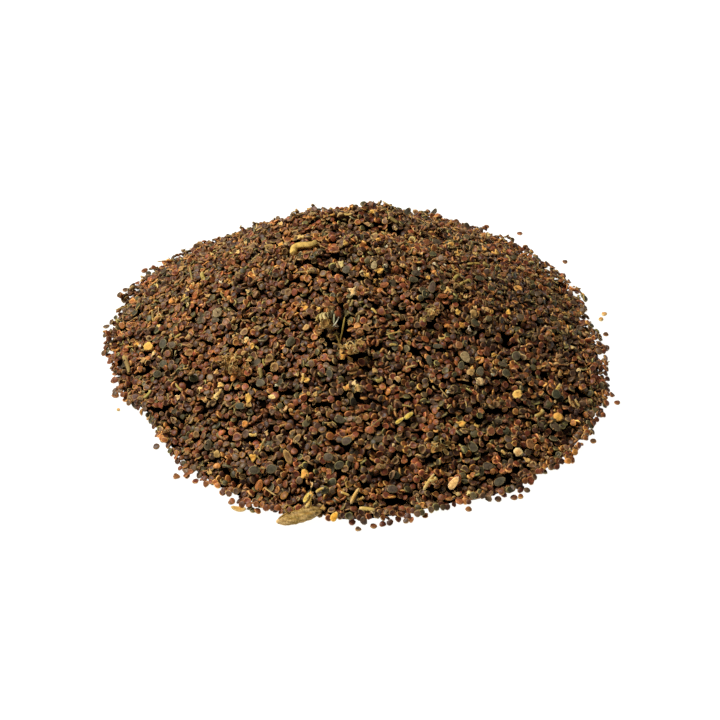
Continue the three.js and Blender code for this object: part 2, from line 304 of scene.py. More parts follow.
def ringFaces(rings, sides):
    # triangles over a first point, rings of points and a last point
    faces = []
    last = rings * sides + 1
    for i in range(sides):
        j = (i + 1) % sides
        faces.append((0, 1 + i, 1 + j))
        faces.append((last, last - sides + j, last - sides + i))
        for ring in range(rings - 1):
            a, b = 1 + ring * sides + i, 1 + ring * sides + j
            faces += [(a, a + sides, b + sides), (a, b + sides, b)]
    return np.array(faces)


# shapes are one unit in radius, and their thickness runs from -0.5 to 0.5
def plateShape(sides, crown, rings, base, outline, bend, bendTurn):
    # a plate built of rings: each ring is (radius, height, rimness), from the crown round the rim to the
    # base; the crown and the base are (height, rimness)
    angle = np.arange(sides) * 2 * math.pi / sides
    spokes = outline(angle)
    verts, rim = [(0, 0, crown[0])], [crown[1]]
    for radius, lift, edge in rings:
        r = radius * (1 + (spokes - 1) * min(1, radius))
        verts += list(zip(r * np.cos(angle), r * np.sin(angle), np.full(sides, lift)))
        rim += [edge] * sides
    verts.append((0, 0, base[0]))
    rim.append(base[1])
    verts = np.array(verts, float)
    along = verts[:, 0] * math.cos(bendTurn) + verts[:, 1] * math.sin(bendTurn)
    across = verts[:, 1] * math.cos(bendTurn) - verts[:, 0] * math.sin(bendTurn)
    verts[:, 2] += bend * (along ** 2 - 0.4 * across ** 2)
    return verts, ringFaces(len(rings), sides), np.array(rim, float)


draw = np.random.default_rng(1871)


def wavyOutline(wobble, notch):
    # a nearly round outline with a low wave, and a small bite where the seed was joined on
    phases = draw.uniform(0, 2 * math.pi, 3)
    return lambda a: (1 + wobble * np.sin(2 * a + phases[0]) + 0.6 * wobble * np.sin(3 * a + phases[1])
                      - notch * np.exp(-((a - math.pi) / 0.35) ** 2))


# a round seed: a lens with a low crown, a shallow groove and a thin raised rim
discForms = [  # crown height, groove height, wobble, notch, bend, its direction
    (0.52, 0.36, 0.05, 0.12, 0.08, 0.4), (0.40, 0.32, 0.07, 0.0, -0.16, 1.3),
    (0.56, 0.34, 0.08, 0.18, 0.18, 2.2), (0.10, 0.14, 0.06, 0.10, 0.26, 0.9),
    (0.48, 0.40, 0.10, 0.06, -0.24, 2.9), (0.30, 0.22, 0.12, 0.26, 0.34, 1.8),
    (0.60, 0.44, 0.09, 0.08, 0.10, 0.9),
]


def discs(sides, upperRings, lower):
    # all forms of round seed; upperRings gives the rings above the rim from the height of the groove
    return [plateShape(sides, (crown, 0.0), upperRings(groove) + [(1.0, 0.0, 1.0), lower], (-0.5, 0.0),
                       wavyOutline(wobble, notch), bend, turn)
            for crown, groove, wobble, notch, bend, turn in discForms]


discShapes = discs(10, lambda groove: [(0.62, groove, 0.1), (0.86, 0.30, 0.75)], (0.82, -0.38, 0.3))
# the same in fewer faces, for those that others mostly cover
lowShapes = discs(8, lambda groove: [(0.76, 0.30, 0.3)], (0.80, -0.38, 0.3))


def eggOutline(point, wobble):
    phase = draw.uniform(0, 2 * math.pi)
    return lambda a: 1 + point * np.cos(a) ** 3 + wobble * np.sin(3 * a + phase)


ovateRings = [(0.50, 0.34, 0.0), (0.74, 0.22, 0.1), (0.89, 0.30, 0.9), (1.0, 0.0, 1.0),
              (0.76, -0.36, 0.25)]
ovateShapes = [plateShape(12, (crown, 0.0), ovateRings, (-0.5, 0.0), eggOutline(point, wobble), bend, turn)
               for crown, point, wobble, bend, turn in
               [(0.42, 0.08, 0.03, -0.12, 0.0), (0.34, 0.18, 0.04, 0.14, 0.0),
                (0.50, 0.12, 0.06, -0.20, 1.5)]]

# a coat that has lost its seed: a dished shell that curls up along one way
shellRings = [(0.62, -0.22, 0.15), (1.0, 0.30, 1.0), (0.94, 0.12, 0.9), (0.60, -0.40, 0.3)]
shellShapes = [plateShape(9, (-0.36, 0.0), shellRings, (-0.52, 0.1), wavyOutline(wobble, notch), bend, turn)
               for wobble, notch, bend, turn in
               [(0.10, 0.2, 0.75, 0.3), (0.14, 0.35, 1.05, 1.2), (0.08, 0.1, 0.55, 2.4)]]


mostSpokes = 24  # in a torn outline


def raggedOutline(depth):
    # a torn edge; each spoke has its own reach
    reaches = draw.uniform(1 - depth, 1 + 0.3 * depth, mostSpokes)
    return lambda a: reaches[:len(a)]


def crumpled(shape, crease):
    # creases run across a thin scrap; its two faces keep together
    verts, faces, rim = shape
    phases = draw.uniform(0, 2 * math.pi, 3)
    x, y = verts[:, 0], verts[:, 1]
    lift = np.sin(4.1 * x + 1.6 * y + phases[0]) + np.sin(2.2 * x - 4.6 * y + phases[1])
    verts[:, 2] += crease * (lift + 0.6 * np.sin(7.3 * x + 6.1 * y + phases[2]))
    return verts, faces, rim


flakeRings = [(0.52, 0.46, 0.2), (1.0, 0.30, 1.0), (0.95, -0.40, 0.8)]
flakeForms = [(0.55, 0.5, 0.2), (0.7, -0.6, 1.1), (0.75, 0.9, 2.0), (0.5, -0.4, 2.7), (0.65, 0.3, 1.6)]
flakeShapes = []
for depth, bend, turn in flakeForms:
    flake = plateShape(12, (0.5, 0.0), flakeRings, (-0.5, 0.2), raggedOutline(depth), bend, turn)
    flakeShapes.append(crumpled(flake, 0.45))

shardRings = [(1.0, 0.35, 0.7), (0.85, -0.4, 0.5)]
shardShapes = [plateShape(5, (0.5, 0.0), shardRings, (-0.5, 0.0), raggedOutline(depth), bend, turn)
               for depth, bend, turn in
               [(0.3, 0.2, 0.0), (0.55, -0.3, 1.0), (0.7, 0.3, 2.0), (0.6, 0.5, 0.5)]]


def tubeAlong(path, radii, sides, flat=1.0, ribs=0.0):
    # a closed tube along points in mm, with its radius at each, squeezed to an oval section by flat
    path, radii = np.asarray(path, float), np.asarray(radii, float)
    ways = np.gradient(path, axis=0)
    ways /= np.linalg.norm(ways, axis=1)[:, None]
    side = np.cross(ways, (0.05, 0.02, 1.0))
    side /= np.linalg.norm(side, axis=1)[:, None]
    over = np.cross(side, ways)
    angle = np.arange(sides) * 2 * math.pi / sides
    out = (1 + ribs * np.cos(4 * angle))[:, None]
    verts = [path[0]]
    for p, s, o, r in zip(path, side, over, radii):
        verts += list(p + r * out * (np.cos(angle)[:, None] * s + flat * np.sin(angle)[:, None] * o))
    verts.append(path[-1])
    return np.array(verts), ringFaces(len(path), sides)


def smoothed(points):
    # cuts the corners of a path, twice
    points = np.asarray(points, float)
    for _ in range(2):
        cut = np.empty((2 * len(points) - 2, 3))
        cut[0::2] = 0.75 * points[:-1] + 0.25 * points[1:]
        cut[1::2] = 0.25 * points[:-1] + 0.75 * points[1:]
        points = np.vstack([points[:1], cut, points[-1:]])
    return points


def strawShape(bow, splay):
    # a bit of stalk, one unit long each way, flattened, with one end frayed
    along = np.linspace(-1, 1, 6)
    path = np.stack([along, 0.5 * bow * (1 - along ** 2), 0.2 * bow * along], 1)
    radii = np.interp(along, [-1, -0.8, 0.5, 1], [0.7, 1.0, 0.9, splay])
    verts, faces = tubeAlong(path, radii * 0.5, 5)
    verts[:, 0] = np.clip(verts[:, 0], -1, 1)
    verts[:, 1] *= 2
    return verts, faces, np.clip(np.abs(verts[:, 0]) * 1.6 - 0.7, 0, 1)


strawShapes = [strawShape(bow, splay) for bow, splay in [(0.4, 0.5), (-0.7, 1.3), (0.15, 0.8)]]

print("shapes are made")


# settling: each thing comes down on what already lies there, kept as a grid of heights
cell = 0.25  # mm
gridReach = 84.0
gridSide = int(2 * gridReach / cell) + 1
gridLine = np.arange(gridSide) * cell - gridReach
gridX, gridY = np.meshgrid(gridLine, gridLine)


def cellOf(x, y):
    return round((y + gridReach) / cell), round((x + gridReach) / cell)


def rayThrough(pixel):
    # the way from the camera through a pixel of the photo
    half = photoView["pictureSize"] / 2
    ray = np.array([pixel[0] - half, 0, 0]) + (half - pixel[1]) * viewUp - focalPixels * viewBack
    return ray / np.linalg.norm(ray)


def placeAtHeight(pixel, z):
    # where the ray through a pixel passes a height
    ray = rayThrough(pixel)
    point = eye + (z - eye[2]) / ray[2] * ray
    return float(point[0]), float(point[1])


def placeUnder(pixel, surface):
    # where the ray through a pixel meets a surface kept on the grid
    points = eye + np.arange(370, 560, 0.1)[:, None] * rayThrough(pixel)
    rows = np.clip(np.rint((points[:, 1] + gridReach) / cell).astype(int), 0, gridSide - 1)
    columns = np.clip(np.rint((points[:, 0] + gridReach) / cell).astype(int), 0, gridSide - 1)
    hit = int(np.argmax(points[:, 2] <= surface[rows, columns]))
    return float(points[hit, 0]), float(points[hit, 1])


# dark gaps between the seeds that reach deep into the heap: pixel, half width and half length, depth
pits = {
    "besideUpperClump": {"pixel": (344, 329), "across": 1.6, "along": 2.9, "depth": 6.0},
    "aboveLowerClump": {"pixel": (343, 336), "across": 1.3, "along": 1.5, "depth": 5.0},
    "besideLowerClump": {"pixel": (359, 358), "across": 0.9, "along": 1.1, "depth": 3.0},
    "belowUpperClump": {"pixel": (327, 337), "across": 0.5, "along": 0.9, "depth": 1.4},
    "onRightBank": {"pixel": (507, 341), "across": 1.5, "along": 2.9, "depth": 3.5},
    "besideRightBank": {"pixel": (478, 336), "across": 1.0, "along": 1.0, "depth": 3.0},
    "nearRightFoot": {"pixel": (594, 378), "across": 1.0, "along": 1.6, "depth": 2.0},
    "onLeftBank": {"pixel": (205, 407), "across": 1.3, "along": 1.6, "depth": 3.5},
    "belowLeftFlake": {"pixel": (150, 366), "across": 0.9, "along": 1.7, "depth": 3.0},
    "nearFrontFoot": {"pixel": (340, 450), "across": 1.4, "along": 1.3, "depth": 3.0},
    "lowOnRight": {"pixel": (470, 455), "across": 1.5, "along": 1.2, "depth": 3.0},
    "belowStalk": {"pixel": (288, 257), "across": 0.9, "along": 1.5, "depth": 3.0},
    "behindTop": {"pixel": (381, 222), "across": 1.0, "along": 1.8, "depth": 2.2},
}
formHeight = heapHeight(gridX, gridY)
pitDepth = 0 * formHeight
for pit in pits.values():
    px, py = placeUnder(pit["pixel"], formHeight)
    outward = np.hypot((gridX - px) / pit["across"], (gridY - py) / pit["along"])
    pitDepth = np.maximum(pitDepth, pit["depth"] * np.exp(-outward ** 4))
seedSkin = 0.60  # mm that the settled seeds stand above the level they are filled to
swells = {"height": 0.14, "length": 5.6}  # mm; the banks roll gently, a few seeds from crest to crest


def swellHeight(x, y):
    # crests in several directions, none of the same length, so that no pattern repeats
    lift = 0 * x
    for k in range(6):
        turn = 0.4 + 1.13 * k
        along = x * math.cos(turn) + y * math.sin(turn)
        lift = lift + np.sin(2 * math.pi * along / (swells["length"] * (0.8 + 0.17 * k)) + 2.1 * k)
    return swells["height"] * lift


# the seeds at the foot, which lie on the bare surface
foot = {
    "step": 1.7,  # mm; they lie this deep
    "ramp": 1.5,  # mm in from the edge of the heap
    "apron": 3.2,  # mm in from the foot
    "closeTo": 0.3,  # mm past the foot, no gaps up to there
    "latticeSteps": (1.4, 1.4, 1.2),  # mm between candidates
    "bareBelow": 0.35,  # mm; a cell lower than this is bare
    "bareShare": 0.36,  # a seed comes down where more than this much round it is bare
    "looseShare": 0.5,  # of the candidates further out
    "usualLean": 9.0,
    "scattered": 50,  # seeds that lie singly outside all these
    "scatteredOut": 0.7,  # mm
    "scatteredLean": 6.0,
    # where loose seeds lie further out or the heap falls short: azimuth and spread in degrees, mm outwards
    "fringe": [(168, 3, -1.3), (188, 4, -1.2), (195, 2.5, 0.9), (207, 5, -1.8), (230, 4, 1.6), (246, 3, 2.2),
               (261, 2.5, -1.3), (278, 7, 1.3), (290, 3, -0.9), (302, 6, 1.1), (311, 2.5, -0.8),
               (351, 4, -1.4), (9, 6, -2.6), (20, 2.5, 1.0), (95, 42, -1.2), (133, 12, -0.9)],
}


def fringeReach(azimuth):
    # azimuth in radians; how far past the foot seeds lie, in mm
    out = 0.3 + 0 * azimuth
    for middle, spread, far in foot["fringe"]:
        out = out + far * bell((np.degrees(azimuth) - middle + 180) % 360 - 180, spread)
    return out


fromMiddleX, fromMiddleY = gridX - heap["centre"][0], gridY - heap["centre"][1]
gridAzimuth = np.arctan2(fromMiddleY, fromMiddleX)
beyondFoot = (np.hypot(fromMiddleX, fromMiddleY) - footRadius(gridAzimuth)
              - np.minimum(fringeReach(gridAzimuth), foot["closeTo"]))
level = formHeight - seedSkin - pitDepth + swellHeight(gridX, gridY) * np.clip(formHeight / 4, 0, 1)

# the curled stalk lies over the shoulder of the heap, left of its top, in a bed of its own
stalk = {
    "path": [(-19.9, 1.0), (-20.1, 3.0), (-19.3, 4.2), (-17.9, 3.9),
             (-16.4, 3.2), (-15.0, 2.7), (-14.1, 3.0), (-13.3, 3.4)],
    "above": 0.8, "diameter": 2.0, "sides": 22, "ribs": 0.05, "bed": 0.9,
    "light": "#e6c068", "middle": "#c8a65a", "dark": "#a48c4c", "mark": "#745c2c",
}
stalkPlan = np.array(stalk["path"]) + heap["centre"]
fromStalk = np.min([np.hypot(gridX - x, gridY - y) for x, y in stalkPlan], axis=0)
level -= stalk["bed"] * bell(fromStalk, 1.0)
level = np.maximum(level, foot["step"] * np.clip(-beyondFoot / foot["ramp"], 0, 1))
wanted = np.where(beyondFoot < 0, level, 0)

# places where other things lie on the surface, in mm round their boxes
taken = np.zeros(formHeight.shape, bool)
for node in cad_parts:
    if node not in ("seed_heap", "curled_stalk", "front_husk"):
        low, high = (np.array(corner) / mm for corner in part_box(node))
        reach = 0.5 + (high - low) / 2
        centre = (low + high) / 2
        taken |= np.hypot((gridX - centre[0]) / reach[0], (gridY - centre[1]) / reach[1]) < 1.0

core = {
    "depth": 2.4,  # mm under the seeds' outer surface
    "bumpSpacing": 2.1,  # mm; the relief is that of the seeds packed below
    "bumpHeight": 0.7,
    "skirt": 0.3,  # mm; under the seeds at the foot it thins out to this, a dark sheet that paints the shade between them
    "skirtIn": 2.1,  # mm in from the edge of the heap
    "least": 0.12,  # mm above the floor, nowhere thinner
    "sole": 0.02,  # mm above the floor, its flat underside
    "rings": 96,
    "spokes": 210,
    # painted shade: the core is all but black, standing for the deep shade in the gaps between the seeds
    "colour": "#030201",
    # painted shade: the hollows of the core's relief are darker than its domes
    "lessShadedDomes": "#0c0704",
}


def packedRelief(x, y):
    # domes of seed size on a jittered square lattice, 0 to 1
    spacing = core["bumpSpacing"]
    best = np.full(np.shape(x), 9.0)
    i0, j0 = np.floor(x / spacing), np.floor(y / spacing)
    for di in (-1, 0, 1):
        for dj in (-1, 0, 1):
            i, j = i0 + di, j0 + dj
            px = (i + 0.5 + 0.35 * np.sin(i * 12.9 + j * 78.2)) * spacing
            py = (j + 0.5 + 0.35 * np.sin(i * 39.3 + j * 11.1)) * spacing
            best = np.minimum(best, np.hypot(x - px, y - py) / spacing)
    return np.sqrt(np.clip(1 - (best / 0.62) ** 2, 0, 1))


def coreHeight(x, y):
    rows = np.rint((y + gridReach) / cell).astype(int)
    columns = np.rint((x + gridReach) / cell).astype(int)
    lift = heapHeight(x, y) - core["depth"] - pitDepth[rows, columns]
    lift = lift + core["bumpHeight"] * (packedRelief(x, y) - 0.5)
    # the thin skirt at the foot paints the shade between the seeds there
    return np.maximum(lift, np.where(beyondFoot[rows, columns] < -core["skirtIn"], core["skirt"], 0))


top = coreHeight(gridX, gridY)

widest = 24  # cells, half the side of the largest patch
spanX = [np.meshgrid(np.arange(-s, s + 1) * cell, np.arange(-s, s + 1) * cell)[0] for s in range(widest)]
slopeFit = [None] + [spanX[s] / (spanX[s] ** 2).sum() for s in range(1, widest)]


def unit(vector):
    return vector / math.sqrt(vector @ vector)


def layDown(x, y, size, lean, sink, facing=0.0, pointing=None, trial=False):
    # brings one thing (half length, half width, thickness) down at x, y; gives its turn and its place
    # facing turns it part of the way to the camera's side, pointing is its angle in the picture
    # a trial only says where it would come to rest
    halfLong, halfWide, thick = size
    span = min(int(max(halfLong, halfWide) / cell) + 1, widest - 1)
    row, column = cellOf(x, y)
    rows, columns = slice(row - span, row + span + 1), slice(column - span, column + span + 1)
    patch = top[rows, columns]
    slopeX = float((slopeFit[span] * patch).sum())
    slopeY = float((slopeFit[span].T * patch).sum())
    steep = math.hypot(slopeX, slopeY)
    if steep > 1.0:
        slopeX, slopeY = slopeX / steep, slopeY / steep
    normal = unit(np.array([-slopeX, -slopeY, 1.0]))
    swing = draw.uniform(0, 2 * math.pi)
    sideways = unit(np.cross(normal, (math.cos(swing), math.sin(swing), 0.1)))
    normal = math.cos(lean) * normal + math.sin(lean) * sideways + facing * viewBack
    normal[2] = max(normal[2], 0.22)
    normal = unit(normal)
    turn = draw.uniform(0, 2 * math.pi)
    long = unit(np.cross((math.cos(turn), math.sin(turn), 0.0), normal))
    if pointing is not None:
        aim = math.cos(math.radians(pointing)) * viewRight + math.sin(math.radians(pointing)) * viewUp
        long = unit(aim - viewBack * (aim @ normal) / max(viewBack @ normal, 0.3))
        long = unit(long - normal * (long @ normal))
    wide = np.cross(normal, long)
    dx = spanX[span] + (column * cell - gridReach - x)
    dy = spanX[span].T + (row * cell - gridReach - y)
    middle = -(normal[0] * dx + normal[1] * dy) / normal[2]
    alongLong = dx * long[0] + dy * long[1] + middle * long[2]
    alongWide = dx * wide[0] + dy * wide[1] + middle * wide[2]
    spread = (alongLong / halfLong) ** 2 + (alongWide / halfWide) ** 2
    inside = spread <= 1.0
    if not inside.any():
        inside = spread <= spread.min()  # it is narrower than a cell
    half = thick * 0.5 / max(normal[2], 0.5) * np.clip(1.15 - spread, 0.25, 1)
    rest = float((patch - middle + half)[inside].max()) - sink
    rest = max(rest, halfLong * math.sqrt(1 - normal[2] ** 2) * 0.9 + 0.42 * thick)  # never through the floor
    if trial:
        return rest
    upper = rest + middle + half
    covers = inside & (upper > patch)
    patch[covers] = upper[covers]
    owner[rows, columns][covers] = len(laidDown)
    laidDown.append(int(inside.sum()))
    return np.stack([long, wide, normal], 1), np.array([x, y, rest])


owner = np.full(top.shape, -1)  # which thing lies uppermost in each cell of the grid
laidDown = []  # for each thing, the cells that it covers
settled = {}  # kind -> list of (number, shapes, which of them, turn, size, place, body colour, rim colour)


def keep(kind, shapes, laid, size, body, rim):
    turn, place = laid
    settled.setdefault(kind, []).append(
        (len(laidDown) - 1, shapes, int(draw.integers(len(shapes))), turn, size, place, body, rim))


def tinted(hexColours, spread=0.10):
    # one colour of a kind's own range, a little lighter or darker each time
    colour = linearColour(hexColours[int(draw.integers(len(hexColours)))])
    return np.clip(colour * math.exp(draw.normal(0, spread)) * np.exp(draw.normal(0, 0.04, 3)), 0, 1)


# the round seeds: their share of the heap, diameters in mm, colours of the middle and of the rim
roundSeeds = {
    "redBrownSeeds": {"share": 0.255, "diameter": 1.92, "thickness": 0.84,
                      "body": ["#67321e", "#733c26", "#5c2e1e", "#80462a"],
                      "rim": ["#b87c44", "#a66a3a", "#c68e52"]},
    "umberSeeds": {"share": 0.255, "diameter": 1.86, "thickness": 0.82,
                   "body": ["#4a2a1e", "#40261c", "#543426"],
                   "rim": ["#8e6036", "#7c5030", "#a07244"]},
    "greyBrownSeeds": {"share": 0.215, "diameter": 1.96, "thickness": 0.80,
                       "body": ["#5e4432", "#523a2a", "#68503c"],
                       "rim": ["#a2824e", "#8e6c44", "#b09058"]},
    "tanSeeds": {"share": 0.155, "diameter": 1.84, "thickness": 0.80,
                 "body": ["#8c5228", "#986232", "#7e4a26"],
                 "rim": ["#d8a050", "#c88c44", "#e0ae5e"]},
    "oliveSeeds": {"share": 0.085, "diameter": 1.90, "thickness": 0.80,
                   "body": ["#50462e", "#463e2a", "#5c5236"],
                   "rim": ["#9a8a4e", "#887a44", "#a89856"]},
}
ovateSeeds = {
    "share": 0.012, "length": 2.9, "width": 2.0, "thickness": 0.8,
    "body": ["#48412e", "#504632", "#3e392a", "#5a4a38"],
    "rim": ["#8c805a", "#7e7452", "#968860"],
}

settling = {
    "bedStep": 1.5,  # mm between the seeds that lie on the core
    "latticeStep": 1.55,  # mm between candidates
    "jitter": 0.85,
    "passes": 5,
    "freeboard": 0.30,  # a seed comes down only where the heap is still this much too low
    "usualLean": 27.0,  # degrees
    "onEdgeShare": 0.32,
    "onEdgeLean": (50, 80),
    "bedLean": 12.0,
    "bedAbove": 1.6,  # mm; the bed lies only where the heap is higher than this
    "pitEdge": 1.5,  # mm; where a pit is deeper than this it stays open
    "sizeSpread": 0.10,
    "thicknessSpread": 0.12,
    "narrowest": 0.9,
    "sink": 0.34,
}
roundNames = list(roundSeeds)
shares = np.array([roundSeeds[n]["share"] for n in roundNames] + [ovateSeeds["share"]])
shares /= shares.sum()

# the heap isn't evenly mixed: darker and paler seeds lie in loose patches
mixing = {"length": 8.0, "strength": 0.17}
# patches of painted shade and painted light in the seeds' colours, that the photo shows best, such as the
# shaded right bank and its hollow and the lit back of the top: pixel, reach in mm, how much paler (or darker,
# below nought)
paintedShadeAndLight = {
    "rightShoulder": ((528, 297), 6.5, -0.40),
    "rightHollow": ((508, 338), 4.5, -0.42),
    "upperRight": ((492, 272), 5.5, -0.22),
    "rightMiddle": ((474, 396), 4.5, -0.34),
    "leftFoot": ((186, 408), 5.5, -0.24),
    "leftShoulder": ((190, 278), 6.0, -0.14),
    "backOfTop": ((398, 238), 6.0, 0.26),
    "frontFoot": ((365, 495), 4.0, -0.22),
    "frontMiddle": ((400, 440), 4.0, 0.18),
    "rightOfMiddle": ((435, 450), 3.5, -0.16),
    "leftMiddle": ((262, 412), 5.0, -0.14),
}
paintedShadeAndLightMiddles = [(*placeUnder(pixel, formHeight), reachOut, paler)
                for pixel, reachOut, paler in paintedShadeAndLight.values()]


def mixedToneAndPaintedShade(x, y):
    # how much paler or darker the seeds are at a place: their uneven mixing, and the painted shade and light
    # of the patches
    tone = 0.0
    for k in range(5):
        turn = 2.2 + 1.31 * k
        along = x * math.cos(turn) + y * math.sin(turn)
        tone += math.sin(2 * math.pi * along / (mixing["length"] * (0.7 + 0.21 * k)) + 1.7 * k)
    tone *= mixing["strength"]
    # painted shade and painted light, patch by patch
    for middleX, middleY, reachOut, paler in paintedShadeAndLightMiddles:
        tone += paler * bell(math.hypot(x - middleX, y - middleY), reachOut)
    return math.exp(tone)


def settleSeed(x, y, lean=None):
    # one seed of a random kind comes down, at a random lean where none is given
    kind = int(draw.choice(len(shares), p=shares))
    if lean is None:
        lean = abs(draw.normal(0, settling["usualLean"]))
        if draw.random() < settling["onEdgeShare"]:
            lean = draw.uniform(*settling["onEdgeLean"])
    lean = math.radians(lean)
    grow = math.exp(draw.normal(0, settling["sizeSpread"]))
    if kind == len(roundNames):
        seed, name, shapes = ovateSeeds, "ovateSeeds", ovateShapes
        size = (seed["length"] / 2 * grow, seed["width"] / 2 * grow, seed["thickness"] * grow)
    else:
        name, shapes = roundNames[kind], discShapes
        seed = roundSeeds[name]
        narrow = draw.uniform(settling["narrowest"], 1.0)
        size = (seed["diameter"] / 2 * grow, seed["diameter"] / 2 * grow * narrow,
                seed["thickness"] * math.exp(draw.normal(0, settling["thicknessSpread"])))
    laid = layDown(x, y, size, lean, settling["sink"] * (1 + math.sin(lean)))
    # the uneven mixing, with painted shade and light from the patches
    tone = mixedToneAndPaintedShade(x, y)
    keep(name, shapes, laid, size, tinted(seed["body"]) * tone, tinted(seed["rim"]) * tone)


def lattice(step):
    # jittered places over the whole heap, in a random order
    rows = np.arange(-80, 80, step * 0.866)
    places = [(x + (i % 2) * step / 2, y) for i, y in enumerate(rows) for x in np.arange(-82, 82, step)]
    places = np.array(places) + draw.uniform(-0.5, 0.5, (len(places), 2)) * step * settling["jitter"]
    return places[draw.permutation(len(places))]


# a bed on the core, so that a gap shows seeds below it
for x, y in lattice(settling["bedStep"]):
    row, column = cellOf(x, y)
    solid = wanted[row, column] > settling["bedAbove"] and pitDepth[row, column] < settling["pitEdge"]
    if solid and owner[row, column] < 0:
        settleSeed(x, y, lean=abs(draw.normal(0, settling["bedLean"])))
print("seeds in the bed:", sum(len(v) for v in settled.values()))

for _ in range(settling["passes"]):
    for x, y in lattice(settling["latticeStep"]):
        row, column = cellOf(x, y)
        goal = wanted[row, column]
        if goal <= 0 or pitDepth[row, column] > settling["pitEdge"] or taken[row, column]:
            continue
        lies = top[row - 2:row + 3, column - 2:column + 3].mean()
        if lies < goal - settling["freeboard"]:
            settleSeed(x, y)
print("seeds on the banks:", sum(len(v) for v in settled.values()))


def fromFoot(x, y):
    # the azimuth of a place, and how far past the foot it lies
    dx, dy = x - heap["centre"][0], y - heap["centre"][1]
    azimuth = np.arctan2(dy, dx)
    return azimuth, math.hypot(dx, dy) - float(footRadius(azimuth))


for x, y in np.concatenate([lattice(step) for step in foot["latticeSteps"]]):
    azimuth, out = fromFoot(x, y)
    reach = float(fringeReach(azimuth))
    if -foot["apron"] < out < reach and (out < foot["closeTo"] or draw.random() < foot["looseShare"]):
        row, column = cellOf(x, y)
        bare = (top[row - 2:row + 3, column - 2:column + 3] < foot["bareBelow"]).mean()
        if bare > foot["bareShare"] and not taken[row, column]:
            settleSeed(x, y, lean=abs(draw.normal(0, foot["usualLean"])))
for _ in range(foot["scattered"]):
    azimuth = np.float64(draw.uniform(0, 2 * math.pi))
    r = float(footRadius(azimuth) + fringeReach(azimuth)) + abs(draw.normal(0, foot["scatteredOut"]))
    x, y = heap["centre"][0] + r * math.cos(azimuth), heap["centre"][1] + r * math.sin(azimuth)
    row, column = cellOf(x, y)
    if top[row - 3:row + 4, column - 3:column + 4].mean() < 0.25 and not taken[row, column]:
        settleSeed(x, y, lean=abs(draw.normal(0, foot["scatteredLean"])))
print("with those at the foot:", sum(len(v) for v in settled.values()))


def scatterPlaces(count):
    # even over the heap's plan but for the pits, as x, y in the frame
    azimuth = draw.uniform(0, 2 * math.pi, count)
    r = footRadius(azimuth) * np.sqrt(draw.uniform(0, 1, count)) - 0.4
    places = zip(heap["centre"][0] + r * np.cos(azimuth), heap["centre"][1] + r * np.sin(azimuth))
    return [(x, y) for x, y in places if pitDepth[cellOf(x, y)] < 0.3]


def scatter(kind, shapes, looks, sizeOf):
    # lays the small things of a kind over the whole heap
    for x, y in scatterPlaces(looks["count"]):
        size = sizeOf()
        lean = math.radians(abs(draw.normal(0, looks["usualLean"])))
        laid = layDown(x, y, size, lean, looks["sink"])
        keep(kind, shapes, laid, size, tinted(looks["body"]), tinted(looks["rim"]))


emptyCoats = {
    "count": 360, "diameter": 2.0, "sizeSpread": 0.16, "narrow": (0.5, 0.95), "thickness": 0.62,
    "usualLean": 26, "sink": 0.45,
    "body": ["#6e4c30", "#7c5836", "#5c4430"], "rim": ["#c09a5e", "#b48a50", "#caa870", "#a88a5a"],
}


def coatSize():
    half = emptyCoats["diameter"] / 2 * math.exp(draw.normal(0, emptyCoats["sizeSpread"]))
    return half, half * draw.uniform(*emptyCoats["narrow"]), emptyCoats["thickness"]


scatter("emptyCoats", shellShapes, emptyCoats, coatSize)

chaffFlakes = {
    "count": 250, "size": (0.5, 1.5), "narrow": (0.4, 0.9), "thickness": 0.34,
    "usualLean": 25, "sink": 0.12,
    "body": ["#d8b070", "#c89850", "#e0c088", "#b88a48", "#d09a4c"],
    "rim": ["#e8cc94", "#d8b468", "#c89e58"],
}


def flakeSize():
    half = draw.uniform(*chaffFlakes["size"]) ** 1.5 * 0.62  # few are large
    return half, half * draw.uniform(*chaffFlakes["narrow"]), chaffFlakes["thickness"]


scatter("chaffFlakes", flakeShapes, chaffFlakes, flakeSize)

strawBits = {
    "count": 90, "length": (1.4, 4.2), "halfWidth": (0.16, 0.34), "thickness": 0.4,
    "usualLean": 14, "sink": 0.15,
    "body": ["#b09050", "#9c8048", "#c4a462", "#8a7440"], "rim": ["#d4ba7c", "#c8a866"],
}


def strawSize():
    halfLong = draw.uniform(*strawBits["length"]) / 2
    return halfLong, draw.uniform(*strawBits["halfWidth"]), strawBits["thickness"]


scatter("strawBits", strawShapes, strawBits, strawSize)

